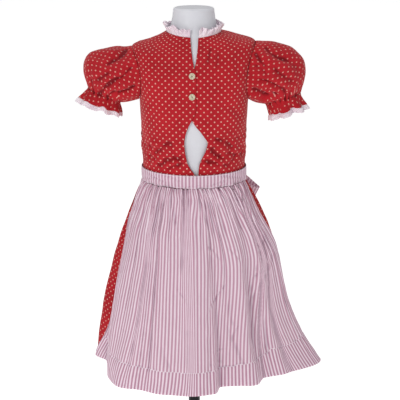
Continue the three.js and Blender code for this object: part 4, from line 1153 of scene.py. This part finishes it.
def throughPoints(path, share):
    # a smooth line through a few points, even where they are unevenly spaced
    points = np.array(path, float)
    ends = np.vstack([2 * points[0] - points[1], points, 2 * points[-1] - points[-2]])
    place = np.clip(share, 0, 1) * (len(points) - 1)
    i = np.minimum(place.astype(int), len(points) - 2)
    t = (place - i)[..., None]
    p0, p1, p2, p3 = (ends[i + k] for k in range(4))
    gap = lambda a, b: np.sqrt(np.linalg.norm(b - a, axis=-1, keepdims=True))
    d0, d1, d2 = gap(p0, p1), gap(p1, p2), gap(p2, p3)
    m1 = ((p1 - p0) / d0 - (p2 - p0) / (d0 + d1) + (p2 - p1) / d1) * d1
    m2 = ((p2 - p1) / d1 - (p3 - p1) / (d1 + d2) + (p3 - p2) / d2) * d1
    return (p1 + m1 * t + (-3 * p1 + 3 * p2 - 2 * m1 - m2) * t ** 2 + (2 * p1 - 2 * p2 + m1 + m2) * t ** 3)


def makeLoop(key):
    loop, width = bow["loops"][key], bow["width"]
    path = [(x, bow["backOfKnot"] + away, z) for x, z, away in loop["path"]]
    u, v = columnSteps(0.002, 0.998, 200), rowSteps(0, 1, 20)
    fromKnot = smooth(0, 0.25, np.minimum(u, 1 - u))
    tilt = np.radians(loop["lean"] * fromKnot)
    across = vectors(np.sin(tilt), 0 * tilt, np.cos(tilt))
    points = throughPoints(path, u) + across * (width * mix(0.6, 1, fromKnot) * (v - 0.5))[..., None]
    side = -1 if path[0][0] > 0 else 1
    length = lengthAlong(points[10:11], 1)
    pleat = np.cos(2 * np.pi * 2.5 * v) * (1 - smooth(0.02, 0.3, np.minimum(u, 1 - u)))
    points = raised(points, 0.8 * pleat + 0.5 * softNoise(length, v * width, 16, 71), side)
    piece = clothPiece("bowLoop" + key, "bow_loop_" + key.lower(), points, vectors(length, v * width),
                       stripedPink, bow["thickness"], side=side)


def makeTail(key):
    tail = bow["tails"][key]
    v, u = rowSteps(0, 1, 120), columnSteps(0, 1, 30)
    drop = mix(0.001, tail["endDrop"], v) + 0 * u
    width = bow["width"] * mix(0.5, 1, smooth(0, 0.3, v))
    aside = np.radians(mix(0.2, tail["spread"], v)) + width * u / hangRadius(180, drop)
    lift = bow["tailLift"] + (1.4 * np.sin(2 * np.pi * u) + 0.8 * np.sin(9 * v + 1)) * v
    points = onHang(180 - tail["side"] * np.degrees(aside), drop, lift)
    length = lengthAlong(points, 0)
    piece = clothPiece("bowTail" + key, "bow_tail_" + key.lower(), points, vectors(length, width * u),
                       stripedPink, bow["thickness"], side=tail["side"])


def makeKnot():
    width, height, depth = bow["knot"]
    ball = bmesh.new()
    bmesh.ops.create_uvsphere(ball, u_segments=64, v_segments=40, radius=1)
    flatMap = ball.loops.layers.uv.new("cloth")
    smoothFaces(ball)
    for face in ball.faces:
        for corner in face.loops:
            x, y, z = corner.vert.co
            corner[flatMap].uv = ((math.asin(max(-1, min(1, z))) * 13 + 2 * x) * mm, x * 11 * mm)
    centreY, centreZ = bow["backOfKnot"] + depth / 2, (band["top"] + band["bottom"]) / 2
    for vert in ball.verts:
        x, y, z = vert.co
        squareX, squareZ = (math.copysign(abs(c) ** 0.75, c) for c in (x, z))
        fold = 1 + 0.035 * math.cos(9 * x + 2.2 * z) + 0.02 * math.cos(17 * x - 3 * z)
        vert.co = (squareX * width / 2 * 0.93 * mm * fold,
                   (centreY + y * depth / 2 * fold * 0.96) * mm,
                   (centreZ + squareZ * height / 2 * 0.93 * fold) * mm)
    addPiece("bowKnot", "bow_knot", ball, stripedPink)


makeKnot()
for key in ("Left", "Right"):
    makeLoop(key)
    makeTail(key)
print("bow tied")

button = {
    "radius": 5.5, "rimHeight": 2.6, "rimWidth": 1.6, "dish": 0.9, "x": -2.6, "clearance": 0.42,
    "holeReach": 1.15, "hole": (0.45, 0.36, 0.08), "thread": (0.24, 0.24, 2.5),  # two radii and a length
}


def turnedPiece(name, node, profile, sides, finish, matrix=None):
    # spins a profile of (radius, height) in mm about +Z
    lathe = bmesh.new()
    line = [lathe.verts.new((radius * mm, 0, height * mm)) for radius, height in profile]
    edges = [lathe.edges.new(pair) for pair in zip(line, line[1:])]
    bmesh.ops.spin(lathe, geom=line + edges, cent=(0, 0, 0), axis=(0, 0, 1), angle=2 * math.pi,
                   steps=sides, use_merge=True)
    bmesh.ops.remove_doubles(lathe, verts=lathe.verts, dist=1e-7)
    bmesh.ops.recalc_face_normals(lathe, faces=lathe.faces)
    if matrix is not None:
        bmesh.ops.transform(lathe, matrix=matrix, verts=lathe.verts)
    smoothFaces(lathe)
    return addPiece(name, node, lathe, finish, sharp=40)


def makeButton(name, node, height):
    rows = [row for row in torso["rows"] if row[0] >= 0]
    level = np.array([[float(smoothCurve([row[5] for row in rows], [row[0] for row in rows])(height))]])
    angle = frontAngle(button["x"], level)
    outward = Vector(torsoNormal(angle, level)[0, 0])
    place = Vector(torsoPoint(angle, level)[0, 0]) + outward * button["clearance"]
    turned = Vector((0, 0, 1)).rotation_difference(outward).to_matrix().to_4x4()
    seat = Matrix.Translation(place * mm) @ turned
    radius, rim, top = button["radius"], button["rimWidth"] / 2, button["rimHeight"]
    roundRim = [(radius - rim + rim * math.cos(a), top - rim + rim * math.sin(a))
                for a in np.linspace(0, math.pi, 9)]
    well = top - button["dish"]
    turnedPiece(name, node, [
        (0, 0), (radius - 1.1, 0), (radius - 0.3, 0.5), *roundRim, (radius - 2 * rim - 0.3, well + 0.15),
        (radius - 2 * rim - 0.9, well), (0, well)], 48, horn, seat)
    # four holes as short dark wells, and thread crossed between them
    stitches = bmesh.new()

    def addRod(segments, sizes, matrix):
        low, high, length = sizes
        bmesh.ops.create_cone(stitches, cap_ends=True, segments=segments, radius1=low * mm,
                              radius2=high * mm, depth=length * mm, matrix=seat @ matrix)

    reach = button["holeReach"] * mm
    quarters = [math.pi / 4 + k * math.pi / 2 for k in range(4)]
    for a in quarters:
        addRod(16, button["hole"],
               Matrix.Translation((reach * math.cos(a), reach * math.sin(a), (well + 0.02) * mm)))
    for k, a in enumerate(quarters[:2]):
        addRod(12, button["thread"], Matrix.Translation((0, 0, (well + 0.22 + 0.2 * k) * mm))
               @ Matrix.Rotation(a, 4, "Z") @ Matrix.Rotation(math.pi / 2, 4, "Y"))
    smoothFaces(stitches)
    addPiece(name + "Thread", None, stitches, thread)


makeButton("buttonUpper", "button_upper", 856)
makeButton("buttonLower", "button_lower", 821)
print("buttons sewn on")

formBody = {
    "ease": {
        "columns": "level around frontCentre",
        "rows": [(-3, 5, 5), (0, 5, 5), (1, 5, 5), (2, 4.6, 4.6), (3, 3.6, 4.2), (4, 2.8, 3.9),
                 (5.5, 2.1, 3.7), (6, 1.9, 3.4), (7, 0.5, 0.5), (8, 0, 0)],
    },
    "clearance": 0.15, "bottom": 508, "top": 964, "neckRound": 5, "columns": 96,
}
formEase = columnsOf(formBody["ease"])


def drawnIn(row, inset, z):
    # a ring drawn in towards its middle, at height z
    flat = row[:, :2] * (1 - inset / np.linalg.norm(row[:, :2], axis=1))[:, None]
    return np.concatenate([flat, np.full((len(row), 1), z)], axis=1)


def makeForm():
    levels = np.concatenate([np.linspace(-3, 6, 100), np.linspace(6, 8, 22)[1:]])[:, None]
    angle = columnSteps(0, 360, formBody["columns"])
    atFront = smooth(0.78, 0.92, np.cos(np.radians(angle)))
    ease = mix(formEase["around"](levels), formEase["frontCentre"](levels), atFront) + formBody["clearance"]
    angle, levels = angle + 0 * levels, levels + 0 * angle
    points = torsoPoint(angle, levels) - torsoNormal(angle, levels) * ease[..., None]
    bottom, top, neckRound = formBody["bottom"], formBody["top"], formBody["neckRound"]
    points[0, :, 2] = bottom
    neck = [drawnIn(points[-1], neckRound * (1 - math.cos(a)), top - neckRound * (1 - math.sin(a)))
            for a in np.linspace(0, math.pi / 2, 9)[1:]]
    cap = [drawnIn(points[-1], inset, top) for inset in np.linspace(5.5, 34, 8)]
    foot = [drawnIn(points[0], inset, bottom) for inset in np.linspace(70, 0.8, 8)]
    points = np.concatenate([foot, points, neck, cap])
    points[:, -1] = points[:, 0]
    body = bmesh.new()
    layGrid(body, points)
    bmesh.ops.remove_doubles(body, verts=body.verts, dist=1e-6)
    bmesh.ops.holes_fill(body, edges=[edge for edge in body.edges if edge.is_boundary], sides=0)
    bmesh.ops.recalc_face_normals(body, faces=body.faces)
    smoothFaces(body)
    addPiece("dressForm", "dress_form", body, shell, sharp=50)


makeForm()
print("dress form made")

stand = {"baseRadius": 140, "baseThickness": 9, "poleRadius": 11, "bore": 11.35, "foot": 9.32, "poleTop": 507.68}


def makeStand():
    radius, thick, pole = stand["baseRadius"], stand["baseThickness"], stand["poleRadius"]
    bore, foot, top = stand["bore"], stand["foot"], stand["poleTop"]
    rim = [(radius - 5 + 5 * math.cos(a), thick - 5 + 5 * math.sin(a)) for a in np.linspace(0, math.pi / 2, 8)]
    for name, node, sides, profile in (
        ("standBase", "stand_base", 96, [
            (0, 0), (radius - 1, 0), (radius - 0.3, 0.3), (radius, 1.2), *rim, (0, thick)]),
        ("poleSocket", "pole_socket", 64, [
            (bore, foot), (25, foot), (25, foot + 3.4), (24.4, foot + 4), (19.6, foot + 9.2),
            (19, foot + 10), (17.2, foot + 33), (16.6, foot + 34), (bore, foot + 34), (bore, foot)]),
        ("standPole", "stand_pole", 64, [(0, foot), (pole, foot), (pole, top), (0, top)]),
        ("formCollar", "form_collar", 64, [
            (bore, top - 26), (17, top - 26), (17.8, top - 25.4), (20, top - 22), (27.4, top - 4.4),
            (28, top - 3.6), (28, top), (bore, top), (bore, top - 26)]),
    ):
        turnedPiece(name, node, profile, sides, steel)


makeStand()
print("stand turned")

studio = {
    "lens": 102.06, "sensor": 36, "place": (0.011, -2.0, 1.197), "pitch": 16.3,
    "skyOnDress": 0.34, "floorGlow": 0.68,
    "lights": [
        # name, watts, size, place, aim
        ("keySoftbox", 23.5, 0.8, (-1.3, -2.3, 1.9), (0, 0, 0.65)),
        ("fillSoftbox", 4.8, 1.4, (1.8, -1.9, 1.3), (0, 0, 0.6)),
        ("topSoftbox", 12, 1.6, (0, 0.2, 2.4), (0, 0, 0.6)),
    ],
}


def makeStudio():
    paper, tree, shader = newFinish("paleFloor")
    tone = placeGroup(tree, slowTone, Place=objectPlace(tree), Scale=2.0)["Tone"]
    plug(tree, shader.inputs, {
        "Base Color": mixColour(tree, tone, (0.95, 0.95, 0.95, 1), (0.93, 0.93, 0.93, 1)),
        "Roughness": 0.9, "Emission Color": (1, 1, 1, 1), "Emission Strength": studio["floorGlow"]})
    floor = bmesh.new()
    bmesh.ops.create_grid(floor, x_segments=1, y_segments=1, size=400)
    addObject("studioFloor", floor, paper)
    world = bpy.data.worlds.new("studioSky")
    world.use_nodes = True
    sky, dim = world.node_tree, studio["skyOnDress"]
    seen = addNode(sky, "LightPath").outputs["Is Camera Ray"]
    # soft light on the dress, and plain white where the camera looks past the floor
    plug(sky, sky.nodes["Background"].inputs, {
        "Color": (1, 1, 1, 1), "Strength": mathNode(sky, "MULTIPLY_ADD", seen, 1 - dim, dim)})
    bpy.context.scene.world = world
    bpy.context.scene.view_settings.view_transform = "Standard"
    for name, watts, size, position, aim in studio["lights"]:
        data = bpy.data.lights.new(name, "AREA")
        data.energy, data.size = watts, size
        lamp = bpy.data.objects.new(name, data)
        lamp.location = position
        lamp.rotation_euler = (Vector(aim) - Vector(position)).to_track_quat("-Z", "Y").to_euler()
        bpy.context.collection.objects.link(lamp)
    data = bpy.data.cameras.new("studioCamera")
    data.lens, data.sensor_width = studio["lens"], studio["sensor"]
    camera = bpy.data.objects.new("studioCamera", data)
    camera.location = studio["place"]
    camera.rotation_euler = (math.radians(90 - studio["pitch"]), 0, 0)
    bpy.context.collection.objects.link(camera)
    bpy.context.scene.camera = camera


makeStudio()
print("studio set")
